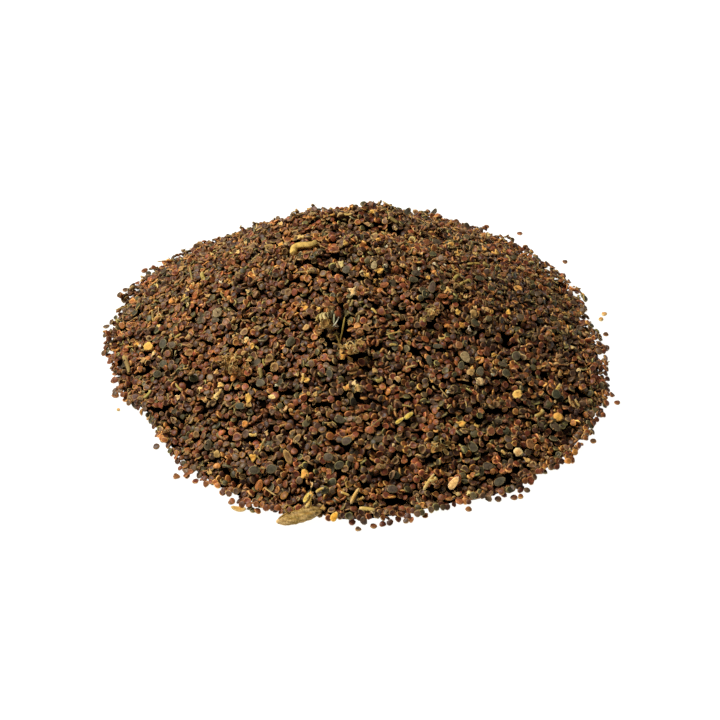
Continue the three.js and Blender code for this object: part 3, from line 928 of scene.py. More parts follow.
# bits that catch the eye, each where the photo has it. A place is the pixel across and down, the length and
# the width in mm, and the way it points in the picture, in degrees up from the right
standouts = {
    "creamFlakes": {
        "kind": "chaffFlakes", "shapes": flakeShapes, "thickness": 0.45, "sink": 0.15,
        "body": ["#f8ca7c", "#f4c06c", "#fad68e"], "rim": ["#fce2a4", "#f8d68c"],
        "places": [(518, 453, 3.1, 2.7, 20), (579, 371, 1.8, 1.4, 60), (342, 264, 2.8, 2.1, 70),
                   (353, 291, 3.1, 2.5, 60), (413, 240, 2.8, 2.3, 80), (300, 237, 3.0, 2.6, 90),
                   (281, 224, 1.8, 1.4, 20), (248, 291, 1.8, 1.4, 0), (160, 317, 3.2, 1.7, 0),
                   (159, 326, 1.8, 1.5, 40), (178, 397, 2.0, 1.9, 0), (272, 399, 2.7, 1.4, 0),
                   (267, 433, 2.0, 1.3, 80), (217, 372, 2.1, 1.8, -70), (246, 341, 2.8, 1.4, 60),
                   (220, 385, 2.4, 1.6, -10), (217, 396, 3.6, 1.6, 65), (212, 254, 1.7, 1.1, 0),
                   (238, 253, 1.7, 1.4, 60), (193, 284, 1.7, 1.1, -60), (188, 290, 1.3, 1.2, 0),
                   (326, 480, 1.7, 1.5, 0), (200, 389, 1.7, 1.3, 30), (479, 382, 2.9, 2.4, -10),
                   (475, 308, 1.5, 1.1, -30), (421, 254, 1.7, 1.0, -45), (489, 234, 1.8, 1.5, 0)],
    },
    "goldFlakes": {
        "kind": "chaffFlakes", "shapes": flakeShapes, "thickness": 0.45, "sink": 0.15,
        "body": ["#ecac4c", "#e09c42", "#f0b658"], "rim": ["#f8cc74", "#f0bc62"],
        "places": [(518, 395, 3.3, 2.7, 80), (558, 418, 3.3, 2.9, 30), (148, 347, 3.9, 2.9, 15),
                   (137, 344, 2.1, 1.5, -40), (248, 398, 3.6, 1.8, -80), (281, 245, 2.3, 1.9, 0),
                   (347, 388, 2.4, 2.0, -20), (343, 360, 2.2, 1.8, 40),
                   (461, 424, 2.8, 2.2, 10), (306, 380, 2.3, 1.7, 0), (252, 346, 2.3, 1.3, -80),
                   (305, 308, 2.1, 1.7, 10), (319, 309, 1.7, 1.1, 0), (451, 245, 2.8, 1.8, 10),
                   (457, 254, 2.9, 2.0, -60), (484, 249, 2.1, 1.4, -30), (497, 252, 2.7, 1.8, -30),
                   (372, 212, 1.8, 1.5, 0), (379, 271, 3.0, 1.7, 20), (367, 279, 2.4, 1.5, -35),
                   (375, 281, 1.7, 1.0, 40), (458, 312, 2.1, 1.8, 20), (462, 325, 2.1, 2.0, 50),
                   (491, 312, 1.5, 1.4, -20), (508, 313, 2.1, 1.7, 80), (406, 236, 1.5, 1.3, 0),
                   (428, 278, 1.5, 1.3, 0), (331, 327, 1.8, 1.4, 70), (447, 354, 1.5, 1.4, 0),
                   (472, 369, 1.5, 1.4, 0), (229, 280, 1.7, 1.4, 20), (304, 474, 2.7, 2.6, 0),
                   (310, 496, 2.6, 2.0, 80), (253, 457, 2.7, 2.6, 0), (378, 240, 2.0, 1.1, 15),
                   (494, 355, 2.7, 1.1, 10)],
    },
    "tanFlakes": {
        "kind": "chaffFlakes", "shapes": flakeShapes, "thickness": 0.42, "sink": 0.2,
        "body": ["#c89a5a", "#bc9254", "#b08a52"], "rim": ["#dcb878", "#d0ac6c"],
        "places": [(217, 457, 2.4, 2.3, 0), (357, 389, 2.8, 2.1, 80), (433, 310, 3.4, 2.1, 80),
                   (143, 360, 2.2, 1.9, 0), (473, 314, 2.6, 2.4, 0), (486, 313, 2.3, 2.1, 0),
                   (471, 373, 2.6, 2.3, 60), (374, 371, 2.1, 1.7, 0), (315, 395, 2.2, 1.5, 60),
                   (141, 392, 1.5, 1.4, 0), (182, 268, 3.3, 1.7, 35), (378, 249, 2.8, 2.0, 10),
                   (571, 403, 4.0, 1.1, -50), (394, 264, 1.3, 1.1, 0), (404, 266, 2.1, 1.1, 0),
                   (306, 328, 2.8, 1.7, 40), (206, 400, 1.8, 1.7, 0), (249, 408, 2.1, 1.6, 0),
                   (208, 296, 2.4, 1.2, 5), (393, 292, 2.0, 2.0, 0)],
    },
    # pale chaff bits; the smallest, as at (346, 345) and (360, 350), are painted highlights where the seeds
    # glint
    "whiteBitsAndGlints": {
        "kind": "chaffFlakes", "shapes": flakeShapes, "thickness": 0.35, "sink": 0.1,
        "body": ["#e4d6b0", "#d8caa2"], "rim": ["#eee2c4"],
        "places": [(386, 265, 1.8, 1.3, 10), (434, 264, 1.2, 1.0, 0), (445, 265, 0.9, 0.8, 0),
                   (469, 329, 1.8, 1.1, -55), (448, 392, 1.4, 0.8, -10), (276, 388, 0.9, 0.8, 0),
                   (246, 367, 1.0, 0.7, 60), (346, 345, 0.8, 0.7, 0), (360, 350, 0.9, 0.8, 0),
                   (419, 269, 1.1, 0.9, 0), (140, 346, 1.3, 1.0, 0), (493, 376, 2.0, 0.9, 0),
                   (490, 278, 1.1, 0.9, 0), (386, 247, 1.3, 1.0, 20), (336, 326, 1.7, 0.8, -10),
                   (221, 282, 1.7, 1.0, -40)],
    },
    "goldSticks": {
        "kind": "strawBits", "shapes": strawShapes, "thickness": 0.55, "sink": 0.1,
        "body": ["#dcb060", "#e4bc6c", "#d0a850"], "rim": ["#f0d494"],
        "places": [(557, 390, 4.6, 1.2, 55), (253, 434, 2.3, 0.9, 0), (218, 393, 3.2, 0.9, 56),
                   (374, 311, 2.3, 0.9, -45), (346, 214, 3.9, 0.9, 0), (442, 338, 1.9, 0.9, 5),
                   (446, 290, 2.2, 0.8, 62), (449, 290, 2.2, 0.8, -55), (157, 286, 2.0, 0.8, -65),
                   (453, 267, 1.6, 0.8, -60), (302, 378, 2.8, 0.9, 80), (503, 455, 1.5, 0.9, -45),
                   (320, 490, 2.6, 0.9, 30), (345, 494, 2.4, 0.9, -20), (360, 497, 2.2, 0.8, 15),
                   (355, 496, 4.6, 1.1, 62), (367, 509, 4.1, 1.1, -6), (429, 482, 5.2, 1.0, 56),
                   (433, 479, 2.2, 0.8, 20), (539, 413, 3.4, 1.2, 32),
                   (308, 501, 4.2, 1.1, 72), (577, 403, 2.5, 1.0, -55), (160, 358, 1.7, 0.8, -30)],
    },
    "dullStraws": {
        "kind": "strawBits", "shapes": strawShapes, "thickness": 0.5, "sink": 0.15,
        "body": ["#a89048", "#b49c50", "#98824a"], "rim": ["#c4ae68"],
        "places": [(393, 345, 2.2, 0.8, 0), (472, 244, 2.8, 0.8, 80), (465, 282, 3.6, 1.0, 25),
                   (469, 281, 1.5, 0.8, -40), (191, 275, 6.6, 0.7, -73), (350, 303, 1.9, 0.9, -70),
                   (352, 303, 1.9, 0.9, 70), (474, 264, 4.4, 1.0, 3), (486, 265, 2.1, 1.2, -35),
                   (264, 360, 2.1, 0.6, -75), (456, 278, 2.9, 1.3, 50), (204, 276, 3.5, 1.4, -65),
                   (185, 299, 2.7, 0.8, 30), (423, 319, 1.8, 0.9, -40), (425, 320, 1.5, 0.8, 60),
                   (379, 379, 2.0, 1.2, 20), (257, 346, 1.7, 0.8, -40), (412, 250, 1.4, 0.7, 70),
                   (179, 387, 3.2, 0.8, -45), (178, 336, 2.3, 0.8, 30), (311, 273, 2.3, 0.8, 0),
                   (393, 219, 3.1, 1.5, -30), (260, 373, 3.1, 1.3, -78), (147, 394, 3.1, 1.1, 48),
                   (130, 347, 2.2, 0.6, 5), (126, 364, 6.2, 1.5, -65)],
    },
    "slates": {
        "kind": "ovateSeeds", "shapes": ovateShapes, "thickness": 0.75, "sink": 0.25,
        "body": ["#544c3a", "#4c4634", "#5c4e3e", "#44402e"], "rim": ["#7e7452", "#8a7c58"],
        "places": [(346, 441, 3.0, 2.2, 20), (339, 419, 3.0, 2.2, -20), (328, 457, 2.8, 2.2, 0),
                   (339, 465, 2.9, 2.1, 30), (436, 242, 3.1, 2.6, 0), (217, 312, 2.8, 2.7, 30),
                   (215, 320, 2.5, 1.6, 0), (480, 372, 3.1, 2.2, 75), (506, 373, 2.6, 2.6, 0),
                   (502, 364, 3.1, 1.7, -15), (392, 489, 3.0, 2.2, 0), (254, 470, 3.2, 2.3, 0),
                   (271, 469, 3.2, 2.6, 10), (240, 406, 3.2, 2.0, 0), (163, 344, 3.0, 2.4, 80),
                   (172, 345, 2.6, 2.2, 0), (163, 364, 2.6, 2.2, 0), (157, 374, 2.6, 2.2, 0),
                   (260, 383, 2.7, 2.3, 0), (475, 322, 2.8, 1.4, -40), (461, 366, 2.7, 1.8, 75),
                   (516, 356, 3.0, 2.4, 60), (416, 273, 3.0, 1.8, 0), (413, 279, 2.8, 1.8, -5),
                   (432, 288, 3.8, 2.0, 80), (425, 294, 2.5, 2.4, 0), (346, 270, 2.5, 2.2, 60),
                   (479, 278, 2.8, 1.4, -15), (491, 288, 2.5, 1.6, -20), (487, 466, 3.0, 2.2, 0),
                   (556, 394, 2.8, 2.7, 0), (437, 346, 2.8, 1.3, 0), (429, 359, 2.8, 1.6, -80)],
    },
    "tanOvates": {
        "kind": "ovateSeeds", "shapes": ovateShapes, "thickness": 0.95, "sink": 0.3,
        "body": ["#a08a64", "#94805c"], "rim": ["#bca678"],
        "places": [(465, 355, 3.3, 2.5, -55), (374, 266, 2.6, 1.8, 80), (217, 313, 2.8, 2.6, 30)],
    },
    "beans": {
        "kind": "ovateSeeds", "shapes": ovateShapes, "thickness": 1.2, "sink": 0.3,
        "body": ["#8e4e24", "#844824", "#9e5e2c"], "rim": ["#c07c3e"],
        "places": [(259, 486, 3.3, 2.1, 75), (425, 339, 2.3, 1.5, -35), (442, 296, 2.9, 1.4, 0),
                   (384, 285, 2.6, 1.6, 15), (456, 363, 1.7, 0.9, -65), (195, 297, 2.3, 1.6, 80)],
    },
    "goldPods": {
        "kind": "ovateSeeds", "shapes": ovateShapes, "thickness": 0.9, "sink": 0.1,
        "body": ["#d8b850", "#ccae52"], "rim": ["#e8d080"],
        "places": [(399, 421, 2.9, 1.1, 35), (408, 415.5, 3.0, 1.3, 36), (306, 498.5, 3.0, 1.3, 62)],
    },
    "goldDrop": {
        "kind": "ovateSeeds", "shapes": ovateShapes, "thickness": 0.8, "sink": 0.1,
        "body": ["#eeb03c"], "rim": ["#f8d070"], "places": [(334, 520, 2.9, 1.9, 62)],
    },
    "orangeBean": {
        "kind": "ovateSeeds", "shapes": ovateShapes, "thickness": 1.2, "sink": 0.1,
        "body": ["#ffc87c"], "rim": ["#ffd89c"], "places": [(453, 484, 4.2, 2.1, 52)],
    },
    "orangeSeeds": {
        "kind": "tanSeeds", "shapes": discShapes, "thickness": 0.9, "sink": 0.2,
        "body": ["#d08c40", "#d4944c", "#c88038"], "rim": ["#e4ac64", "#dca258"],
        "places": [(217, 466, 2.1, 2.0, 0), (357, 326, 2.1, 2.0, 0), (233, 378, 2.1, 2.0, 0),
                   (245, 424, 2.0, 1.9, 0), (434, 272, 1.5, 1.5, 0), (403, 280, 1.2, 1.1, 0),
                   (229, 298, 1.5, 1.5, 0), (518, 289, 3.0, 2.7, 0), (575, 452, 2.1, 1.9, 0),
                   (568, 461, 2.1, 1.9, 0), (322, 326, 1.5, 1.4, 0), (172, 301, 2.4, 2.0, 20)],
    },
    "paleRimmedDiscs": {
        "kind": "greyBrownSeeds", "shapes": discShapes, "thickness": 0.7, "sink": 0.2,
        "body": ["#7e4c30", "#744632", "#845634"], "rim": ["#cc965c", "#c08a50"],
        "places": [(178, 308, 2.8, 2.3, 75), (459, 345, 2.2, 2.1, 0), (426, 243, 2.5, 2.4, 0),
                   (168, 356, 2.2, 2.0, 0), (530, 444, 2.9, 2.8, 0), (491, 431, 2.6, 2.5, 0),
                   (237, 437, 2.8, 2.6, 0), (228, 398, 2.8, 2.5, 0), (226, 322, 2.7, 2.5, 0),
                   (327, 305, 2.6, 2.5, 0), (161, 398, 2.4, 2.2, 0), (151, 401, 2.1, 2.0, 0),
                   (227, 387, 2.0, 1.9, 0), (464, 259, 2.3, 2.2, 0), (503, 275, 2.1, 2.0, 0),
                   (352, 353, 2.1, 2.0, 0)],
    },
    "redHeartedDiscs": {
        "kind": "redBrownSeeds", "shapes": discShapes, "thickness": 0.7, "sink": 0.2,
        "body": ["#8a4428"], "rim": ["#d89c5c"],
        "places": [(248, 372, 2.7, 2.5, 0), (328, 321, 1.7, 1.6, 0)],
    },
    # seeds on the bare surface round the foot
    "footSeeds": {
        "kind": "tanSeeds", "shapes": discShapes, "thickness": 0.75, "sink": 0.0, "facing": 0.0,
        "body": ["#7c4424", "#6a3c22", "#8a5228", "#5c4428"], "rim": ["#b87a40", "#aa6c38"],
        "places": [(232, 501, 1.9, 1.8, 0), (242, 504, 2.0, 1.9, 0), (249, 505, 1.8, 1.7, 0),
                   (256, 504, 1.8, 1.7, 0), (266, 511, 2.0, 1.9, 0), (278, 512, 2.0, 1.9, 0),
                   (191, 475, 1.8, 1.7, 0), (186, 475, 1.9, 1.8, 0), (175.6, 475.6, 1.6, 1.5, 0),
                   (431.8, 216, 2.0, 1.9, 0), (454, 222, 2.1, 2.0, 0),
                   (114.8, 380, 2.0, 1.9, 0), (121, 386, 2.0, 1.9, 0), (115, 393.5, 2.1, 2.0, 0),
                   (122.6, 394.4, 1.9, 1.8, 0), (129, 404.8, 1.9, 1.8, 0), (109.6, 361.4, 2.0, 1.8, 0),
                   (103.7, 353, 2.1, 2.0, 0), (108, 336, 2.0, 1.9, 0), (120, 299.5, 2.0, 1.9, 0),
                   (145, 270, 1.9, 1.8, 0), (153.5, 267.5, 1.8, 1.7, 0), (612, 394.8, 2.1, 2.0, 0),
                   (606.5, 403, 2.1, 2.0, 0), (603.5, 415, 1.8, 1.7, 0), (586, 438, 1.9, 1.8, 0),
                   (606, 363, 1.9, 1.8, 0), (606.5, 369, 1.9, 1.8, 0)],
    },
    "darkLeaves": {
        "kind": "emptyCoats", "shapes": flakeShapes, "thickness": 0.45, "sink": 0.2,
        "body": ["#4c3a30", "#54502e", "#6c3022"], "rim": ["#6a5040", "#6c6440"],
        "places": [(549, 405, 3.8, 2.8, 20), (541, 425, 3.6, 1.7, -55), (577, 411, 2.8, 1.8, 30)],
    },
    "curledCoats": {
        "kind": "emptyCoats", "shapes": shellShapes, "thickness": 0.8, "sink": 0.3,
        "body": ["#8a6238", "#7c5834"], "rim": ["#d0a860", "#c49c58"],
        "places": [(288, 457, 4.6, 2.0, -65), (354, 371, 3.1, 1.7, 25), (269, 247, 3.1, 1.9, 0),
                   (350, 324, 1.8, 1.0, 80), (269, 359, 2.9, 2.4, 20), (275, 367, 2.8, 2.4, -30),
                   (189, 353, 2.6, 2.2, 0)],
    },
}


def layAtPixel(pixel, kind, shapes, size, body, rim, facing, pointing, lean=0.0, sink=0.15):
    # brings one thing down where it shows at a pixel: tries the height it would rest at, and moves along
    # the ray until the two agree
    x, y = placeUnder(pixel, top)
    tries = []
    for _ in range(8):
        rest = layDown(x, y, size, lean, sink, facing, pointing, trial=True)
        nextX, nextY = placeAtHeight(pixel, rest)
        tries.append((math.hypot(nextX - x, nextY - y), x, y))
        x, y = 0.4 * x + 0.6 * nextX, 0.4 * y + 0.6 * nextY
    _, x, y = min(tries)  # where it comes to rest nearest to the ray
    keep(kind, shapes, layDown(x, y, size, lean, sink, facing, pointing), size, body, rim)


for bits in standouts.values():
    for across, down, length, width, pointing in bits["places"]:
        size = (length / 2, width / 2, bits["thickness"])
        body, rim = tinted(bits["body"], 0.05), tinted(bits["rim"], 0.05)
        layAtPixel((across, down), bits["kind"], bits["shapes"], size, body, rim,
                   facing=bits.get("facing", 0.5), pointing=pointing, sink=bits["sink"])
print("standing out:", sum(len(bits["places"]) for bits in standouts.values()))

# clumps of crumpled coats held by fine fibres. Pixels: the middle, the half width and half height; then how
# many coats lean in it and how many fibres arch over it
clumps = {
    "upper": {"middle": (326, 327), "reach": (9, 12), "coats": 16, "fibres": 9},
    "lower": {"middle": (351, 350), "reach": (12, 8), "coats": 16, "fibres": 11},
    "left": {"middle": (232, 363), "reach": (14, 11), "coats": 30, "fibres": 9},
    "front": {"middle": (441, 447), "reach": (10, 9), "coats": 12, "fibres": 6},
    "farLeft": {"middle": (160, 318), "reach": (9, 5), "coats": 6, "fibres": 5},
    "nearTop": {"middle": (430, 311), "reach": (6, 6), "coats": 8, "fibres": 3},
}
clumpLooks = {
    "coatDiameter": 1.9, "coatThickness": 0.6, "coatLean": (15, 60),
    "body": ["#94683a", "#a87c40", "#845430", "#b08848"], "rim": ["#dcb268", "#cca054", "#e4c480"],
    "fibreLength": (4, 8),  # px in the picture
    "fibreRadius": (0.08, 0.13), "fibreLift": (0.3, 0.7),
    "fibre": ["#d8bc74", "#c8a45c", "#e4cc90", "#b08c48"],
}
# cream bracts that curl over the upper clump: pixels from foot to tip, lift in mm, radius in mm, colour
bracts = [
    ([(318.5, 322.5), (317, 319), (319.5, 315.5)], 0.5, 0.34, "#a8944e"),
    ([(322, 322.5), (320, 318), (323, 313.5)], 0.7, 0.42, "#ccbc84"),
    ([(325, 319.5), (323.2, 316.5), (326, 313)], 0.6, 0.42, "#d8c48a"),
    ([(328, 319), (327, 315.8), (329.8, 312.5)], 0.6, 0.40, "#bca872"),
    ([(331, 319), (331, 315), (333.5, 316.5)], 0.5, 0.40, "#a09a78"),
    ([(333, 323), (334.5, 320), (334, 325)], 0.4, 0.26, "#a8a884"),
    ([(333, 327), (336, 326), (339, 325.5)], 0.6, 0.22, "#e0dcc4"),
    ([(339, 344), (341, 340), (345, 338)], 0.8, 0.28, "#b49a48"),
    ([(346, 347), (350, 344), (355, 346)], 0.9, 0.18, "#d4b878"),
    ([(333, 336), (336, 341), (340, 345)], 0.7, 0.26, "#a88c48"),
]
for clump in clumps.values():
    for _ in range(clump["coats"]):
        pixel = np.array(clump["middle"]) + draw.normal(0, 0.5, 2) * clump["reach"]
        grow = math.exp(draw.normal(0, 0.18)) * clumpLooks["coatDiameter"] / 2
        size = (grow, grow * draw.uniform(0.45, 0.95), clumpLooks["coatThickness"])
        body, rim = tinted(clumpLooks["body"]), tinted(clumpLooks["rim"])
        lean = math.radians(draw.uniform(*clumpLooks["coatLean"]))
        layAtPixel(pixel, "emptyCoats", shellShapes, size, body, rim, facing=0.3,
                   pointing=draw.uniform(0, 180), lean=lean)


def strand(pixels, lift, radius, colour, sides):
    # a fibre from pixel to pixel over what lies there, lifted in its middle and drawn in at its ends
    points = []
    for pixel, share in zip(pixels, np.linspace(0, math.pi, len(pixels))):
        x, y = placeUnder(pixel, top)
        points.append((x, y, float(top[cellOf(x, y)]) + 0.1 + lift * math.sin(share)))
    path = smoothed(points)
    radii = radius * np.interp(np.linspace(0, 1, len(path)), [0, 0.2, 0.8, 1], [0.6, 1.0, 0.9, 0.4])
    verts, faces = tubeAlong(path, radii, sides, 0.7)
    return verts, faces, np.tile(colour, (len(verts), 1)), np.zeros(len(verts))


strands = []
for clump in clumps.values():
    for _ in range(clump["fibres"]):
        pixel = np.array(clump["middle"]) + draw.normal(0, 0.5, 2) * clump["reach"]
        way, bow = draw.uniform(0, 2 * math.pi), draw.normal(0, 1.6)
        step = np.array([math.cos(way), math.sin(way)]) * draw.uniform(*clumpLooks["fibreLength"]) / 2
        aside = np.array([-step[1], step[0]]) / np.hypot(*step) * bow
        pixels = [pixel - step, pixel - 0.4 * step + aside, pixel + 0.4 * step + aside, pixel + step]
        lift, radius = draw.uniform(*clumpLooks["fibreLift"]), draw.uniform(*clumpLooks["fibreRadius"])
        strands.append(strand(pixels, lift, radius, tinted(clumpLooks["fibre"]), 4))
for pixels, lift, radius, hexColour in bracts:
    strands.append(strand(pixels, lift, radius, linearColour(hexColour), 6))
print("clumps are down, with", len(strands), "strands")

crumbs = {
    "count": 2400, "size": (0.16, 0.55), "narrow": (0.5, 1), "thickness": 0.26,
    "usualLean": 30, "sink": 0.05,
    "body": ["#8a6440", "#a8804c", "#6c4c34", "#c8a468", "#54402e", "#8c7c50"],
    "rim": ["#b08a58", "#c8a870", "#8c6c48"],
}


def crumbSize():
    least, most = crumbs["size"]
    half = least + (most - least) * draw.random() ** 1.6  # most are small
    return half, half * draw.uniform(*crumbs["narrow"]), min(crumbs["thickness"], half)


scatter("crumbs", shardShapes, crumbs, crumbSize)
print("small things are down")


# the pieces that the settled things make up
seen = np.bincount(owner[owner >= 0], minlength=len(laidDown))  # cells in which each thing is uppermost
seenShare = seen / np.maximum(np.array(laidDown), 1)


def showing(kind, leastSeen=1, mostlyHidden=0.0):
    # the things of a kind that others don't hide, in a plainer shape where little of one shows
    things = []
    for number, shapes, which, *rest in settled[kind]:
        if seen[number] >= leastSeen:
            plainer = shapes is discShapes and seenShare[number] < mostlyHidden
            things.append(((lowShapes if plainer else shapes)[which], *rest))
    print(kind, len(things), "of", len(settled[kind]))
    return things


def gather(name, things, material, slot, *nodes):
    # one piece out of many things: each is a shape, turn, size, place, middle colour and edge colour
    byShape = {}
    for thing in things:
        byShape.setdefault(id(thing[0]), []).append(thing)
    verts, faces, rims, bodies, wings = [], [], [], [], []
    start = 0
    for mine in byShape.values():
        shapeVerts, shapeFaces, shapeRim = mine[0][0]
        turns, sizes, places = (np.array([thing[k] for thing in mine]) for k in (1, 2, 3))
        points = np.einsum("nij,nkj->nki", turns, shapeVerts[None] * sizes[:, None, :]) + places[:, None]
        count = len(shapeVerts)
        verts.append(points.reshape(-1, 3))
        faces.append((shapeFaces[None] + start + np.arange(len(mine))[:, None, None] * count).reshape(-1, 3))
        rims.append(np.tile(shapeRim, len(mine)))
        bodies.append(np.repeat(np.array([thing[4] for thing in mine]), count, axis=0))
        wings.append(np.repeat(np.array([thing[5] for thing in mine]), count, axis=0))
        start += len(mine) * count
    verts = np.concatenate(verts)
    verts[:, 2] = np.maximum(verts[:, 2], lowest)
    values = {"rimness": np.concatenate(rims), "coatColour": np.concatenate(bodies),
              "rimColour": np.concatenate(wings)}
    piece = makePiece(name, verts, np.concatenate(faces), material, values)
    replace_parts(piece, *nodes)
    print(name, "has", len(piece.data.polygons), "triangles")


def heapCore():
    # rings and spokes over the heap's plan, closed underneath by one flat face fan
    rings, spokes = core["rings"], core["spokes"]
    azimuths = np.arange(spokes) * 2 * math.pi / spokes
    edge = footRadius(azimuths) + np.minimum(fringeReach(azimuths), foot["closeTo"]) - core["skirtIn"]
    parts = np.arange(1, rings + 1) / rings
    x = heap["centre"][0] + np.outer(parts, edge * np.cos(azimuths))
    y = heap["centre"][1] + np.outer(parts, edge * np.sin(azimuths))
    z = np.maximum(coreHeight(x, y), core["least"])
    verts = [(heap["centre"][0], heap["centre"][1], float(coreHeight(*np.array(heap["centre"]))))]
    verts += list(zip(x.ravel(), y.ravel(), z.ravel()))
    verts += list(zip(x[-1], y[-1], np.full(spokes, core["sole"])))
    verts.append((heap["centre"][0], heap["centre"][1], core["sole"]))
    verts = np.array(verts)
    # painted shade: near black, the hollows of the relief darker than its domes
    colours = {"rimness": packedRelief(verts[:, 0], verts[:, 1]),
               "coatColour": allOver(core["colour"], verts),
               "rimColour": allOver(core["lessShadedDomes"], verts)}
    return makePiece("heapCore", verts, ringFaces(rings + 1, spokes), shadedLayer, colours)


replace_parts(heapCore(), "seed_heap")
for name in roundNames:
    gather(name, showing(name, leastSeen=8, mostlyHidden=0.5), satinCoat, "seed_coat", "seed_heap")
gather("ovateSeeds", showing("ovateSeeds"), dullCoat, "seed_coat", "seed_heap")
gather("emptyCoats", showing("emptyCoats"), emptyCoatSkin, "seed_coat", "seed_heap")
gather("chaffFlakes", showing("chaffFlakes"), chaffSkin, "pale_chaff", "seed_heap")
gather("strawBits", showing("strawBits"), strawSkin, "dried_stalk", "seed_heap")
gather("crumbs", showing("crumbs"), chaffSkin, "pale_chaff", "seed_heap")


def joined(parts):
    # one set of arrays out of several (points, faces, colours, marks)
    starts = np.cumsum([0] + [len(part[0]) for part in parts])
    faces = np.vstack([part[1] + start for part, start in zip(parts, starts)])
    return (np.vstack([part[0] for part in parts]), faces, np.vstack([part[2] for part in parts]),
            np.concatenate([part[3] for part in parts]))


verts, faces, colour, marks = joined(strands)
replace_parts(makePiece("clumpFibres", verts, faces, strawSkin, {
    "coatColour": colour, "rimness": marks, "rimColour": colour}), "seed_heap")

# the dry pod that lies against the front of the foot
pod = {
    "length": 12.4, "width": 4.2, "height": 3.3, "turn": 15.0, "tilt": 3.0,
    "rings": 56, "sides": 40, "folds": 4, "foldDepth": 0.05, "seamAt": 1.9,
    "olive": "#a08538", "tan": "#b8924a", "orange": "#c88840", "cream": "#ecc686", "mark": "#5e4a1e",
    "rust": "#9a5a2c",
}
# fibres that stand off it: points in mm along, across and above its middle, and the thickness
podFibres = {
    "arch": ([(-2.6, 0.6, 1.2), (-3.4, 0.9, 2.6), (-3.3, 0.9, 3.7), (-2.5, 0.9, 4.0),
              (-1.7, 0.8, 3.2), (-1.1, 0.7, 1.8)], 0.27),
    "loopEnd": ([(5.2, 0.0, 0.3), (6.0, 0.4, 0.8), (6.5, 0.7, 0.2), (6.3, 0.8, -0.8)], 0.24),
    "spike": ([(3.4, 0.6, 1.2), (3.7, 0.8, 2.3), (3.8, 0.9, 3.2)], 0.18),
    "lip": ([(-5.3, 0.4, 0.2), (-4.5, 0.6, 0.8), (-3.2, 0.7, 1.25), (-1.8, 0.7, 1.45)], 0.26),
}


def driedPod():
    # a spindle with folds along it, a seam with lips, dents between its seeds and a torn right end
    box = [np.array(corner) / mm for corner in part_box("front_husk")]
    middle = (box[0] + box[1]) / 2
    rings, sides = pod["rings"], pod["sides"]
    along, around = np.meshgrid(np.linspace(-0.995, 0.995, rings), np.arange(sides) * 2 * math.pi / sides,
                                indexing="ij")
    belly = (1 - along ** 2) ** 0.56 * (1 + 0.10 * along)
    twist = around + 0.5 * along
    folds = 1 + pod["foldDepth"] * np.cos(pod["folds"] * twist + 0.7)
    folds += 0.04 * np.sin(9 * twist + 5 * along) + 0.03 * np.sin(13 * around - 14 * along)
    folds += 0.022 * np.sin(17 * twist + 11 * along) * np.sin(23 * along - 4 * around)  # its net of veins
    dents = 1 - 0.03 * np.cos(2 * math.pi * along * 2.6 + 0.8 * np.sin(2 * around))
    fromSeam = (around - pod["seamAt"] - 0.25 * along + math.pi) % (2 * math.pi) - math.pi
    seam = 1 - 0.15 * bell(fromSeam, 0.14) + 0.07 * bell(np.abs(fromSeam) - 0.30, 0.12)
    reachOut = belly * folds * dents * seam
    x = along * pod["length"] / 2
    y = reachOut * np.cos(around) * pod["width"] / 2
    z = reachOut * np.sin(around) * pod["height"] / 2 + 0.35 * np.sin(2.2 * along)
    verts = np.stack([x.ravel(), y.ravel(), z.ravel()], 1)
    verts = np.vstack([verts, [[-pod["length"] / 2, 0, verts[:sides, 2].mean()]],
                       [[pod["length"] / 2 - 0.5, 0, verts[-sides:, 2].mean()]]])  # the torn end is dished
    faces = []
    left, right = rings * sides, rings * sides + 1
    for i in range(sides):
        j = (i + 1) % sides
        faces.append((left, j, i))
        faces.append((right, (rings - 1) * sides + i, (rings - 1) * sides + j))
        for ring in range(rings - 1):
            a, b = ring * sides + i, ring * sides + j
            faces += [(a, b, b + sides), (a, b + sides, a + sides)]
    # patches of tan, cream and orange over the olive, the tip and the lower edge paler, and painted shade
    # darkening it towards its torn right end
    px, py, pz = verts.T
    patch = 0.5 + 0.5 * np.sin(2.1 * px + 1.7 * pz + 0.6) * np.sin(1.3 * px - 2.9 * py + 1.9)
    warm = np.clip(0.5 + 0.5 * np.sin(1.1 * px - 2.3 * pz + 2.6) * np.sin(3.1 * py + 0.9 * px) - 0.25, 0, 1)
    edge = np.clip(-pz / pod["height"] * 2 - 0.25, 0, 1)
    tip = np.clip((-px - 4.2) / 1.8, 0, 1)
    colour = allOver(pod["olive"], verts)
    # painted shade: darker towards the torn right end
    right = np.clip((px - 2.0) / 4.5, 0, 1) * 0.45
    spots = np.sin(5.7 * px + 2.1 * py + 0.4) * np.sin(6.3 * pz - 3.7 * px + 1.1)
    layers = ((patch * 0.8, pod["tan"]), (warm, pod["cream"]), (edge, pod["orange"]), (tip, pod["cream"]),
              (right, pod["mark"]), (np.clip(2 * spots - 0.8, 0, 0.6), pod["cream"]),
              (np.clip(-2 * spots - 0.9, 0, 0.55), pod["rust"]))
    for share, hexColour in layers:
        colour += share[:, None] * (linearColour(hexColour) - colour)
    marks = np.sin(3.9 * px + 5.3 * pz) * np.sin(6.7 * py - 3.1 * px + 1.2) + 0.6 * np.sin(9 * px - 7 * pz)
    return middle, verts, np.array(faces), colour, np.clip(1.5 * marks - 0.6, 0, 1) * 0.6


def turned(points, turnDegrees, tiltDegrees):
    # tilts about the across way, then turns on the surface
    turn, tilt = math.radians(turnDegrees), math.radians(tiltDegrees)
    x = points[:, 0] * math.cos(tilt) - points[:, 2] * math.sin(tilt)
    z = points[:, 0] * math.sin(tilt) + points[:, 2] * math.cos(tilt)
    return np.stack([x * math.cos(turn) - points[:, 1] * math.sin(turn),
                     x * math.sin(turn) + points[:, 1] * math.cos(turn), z], 1)


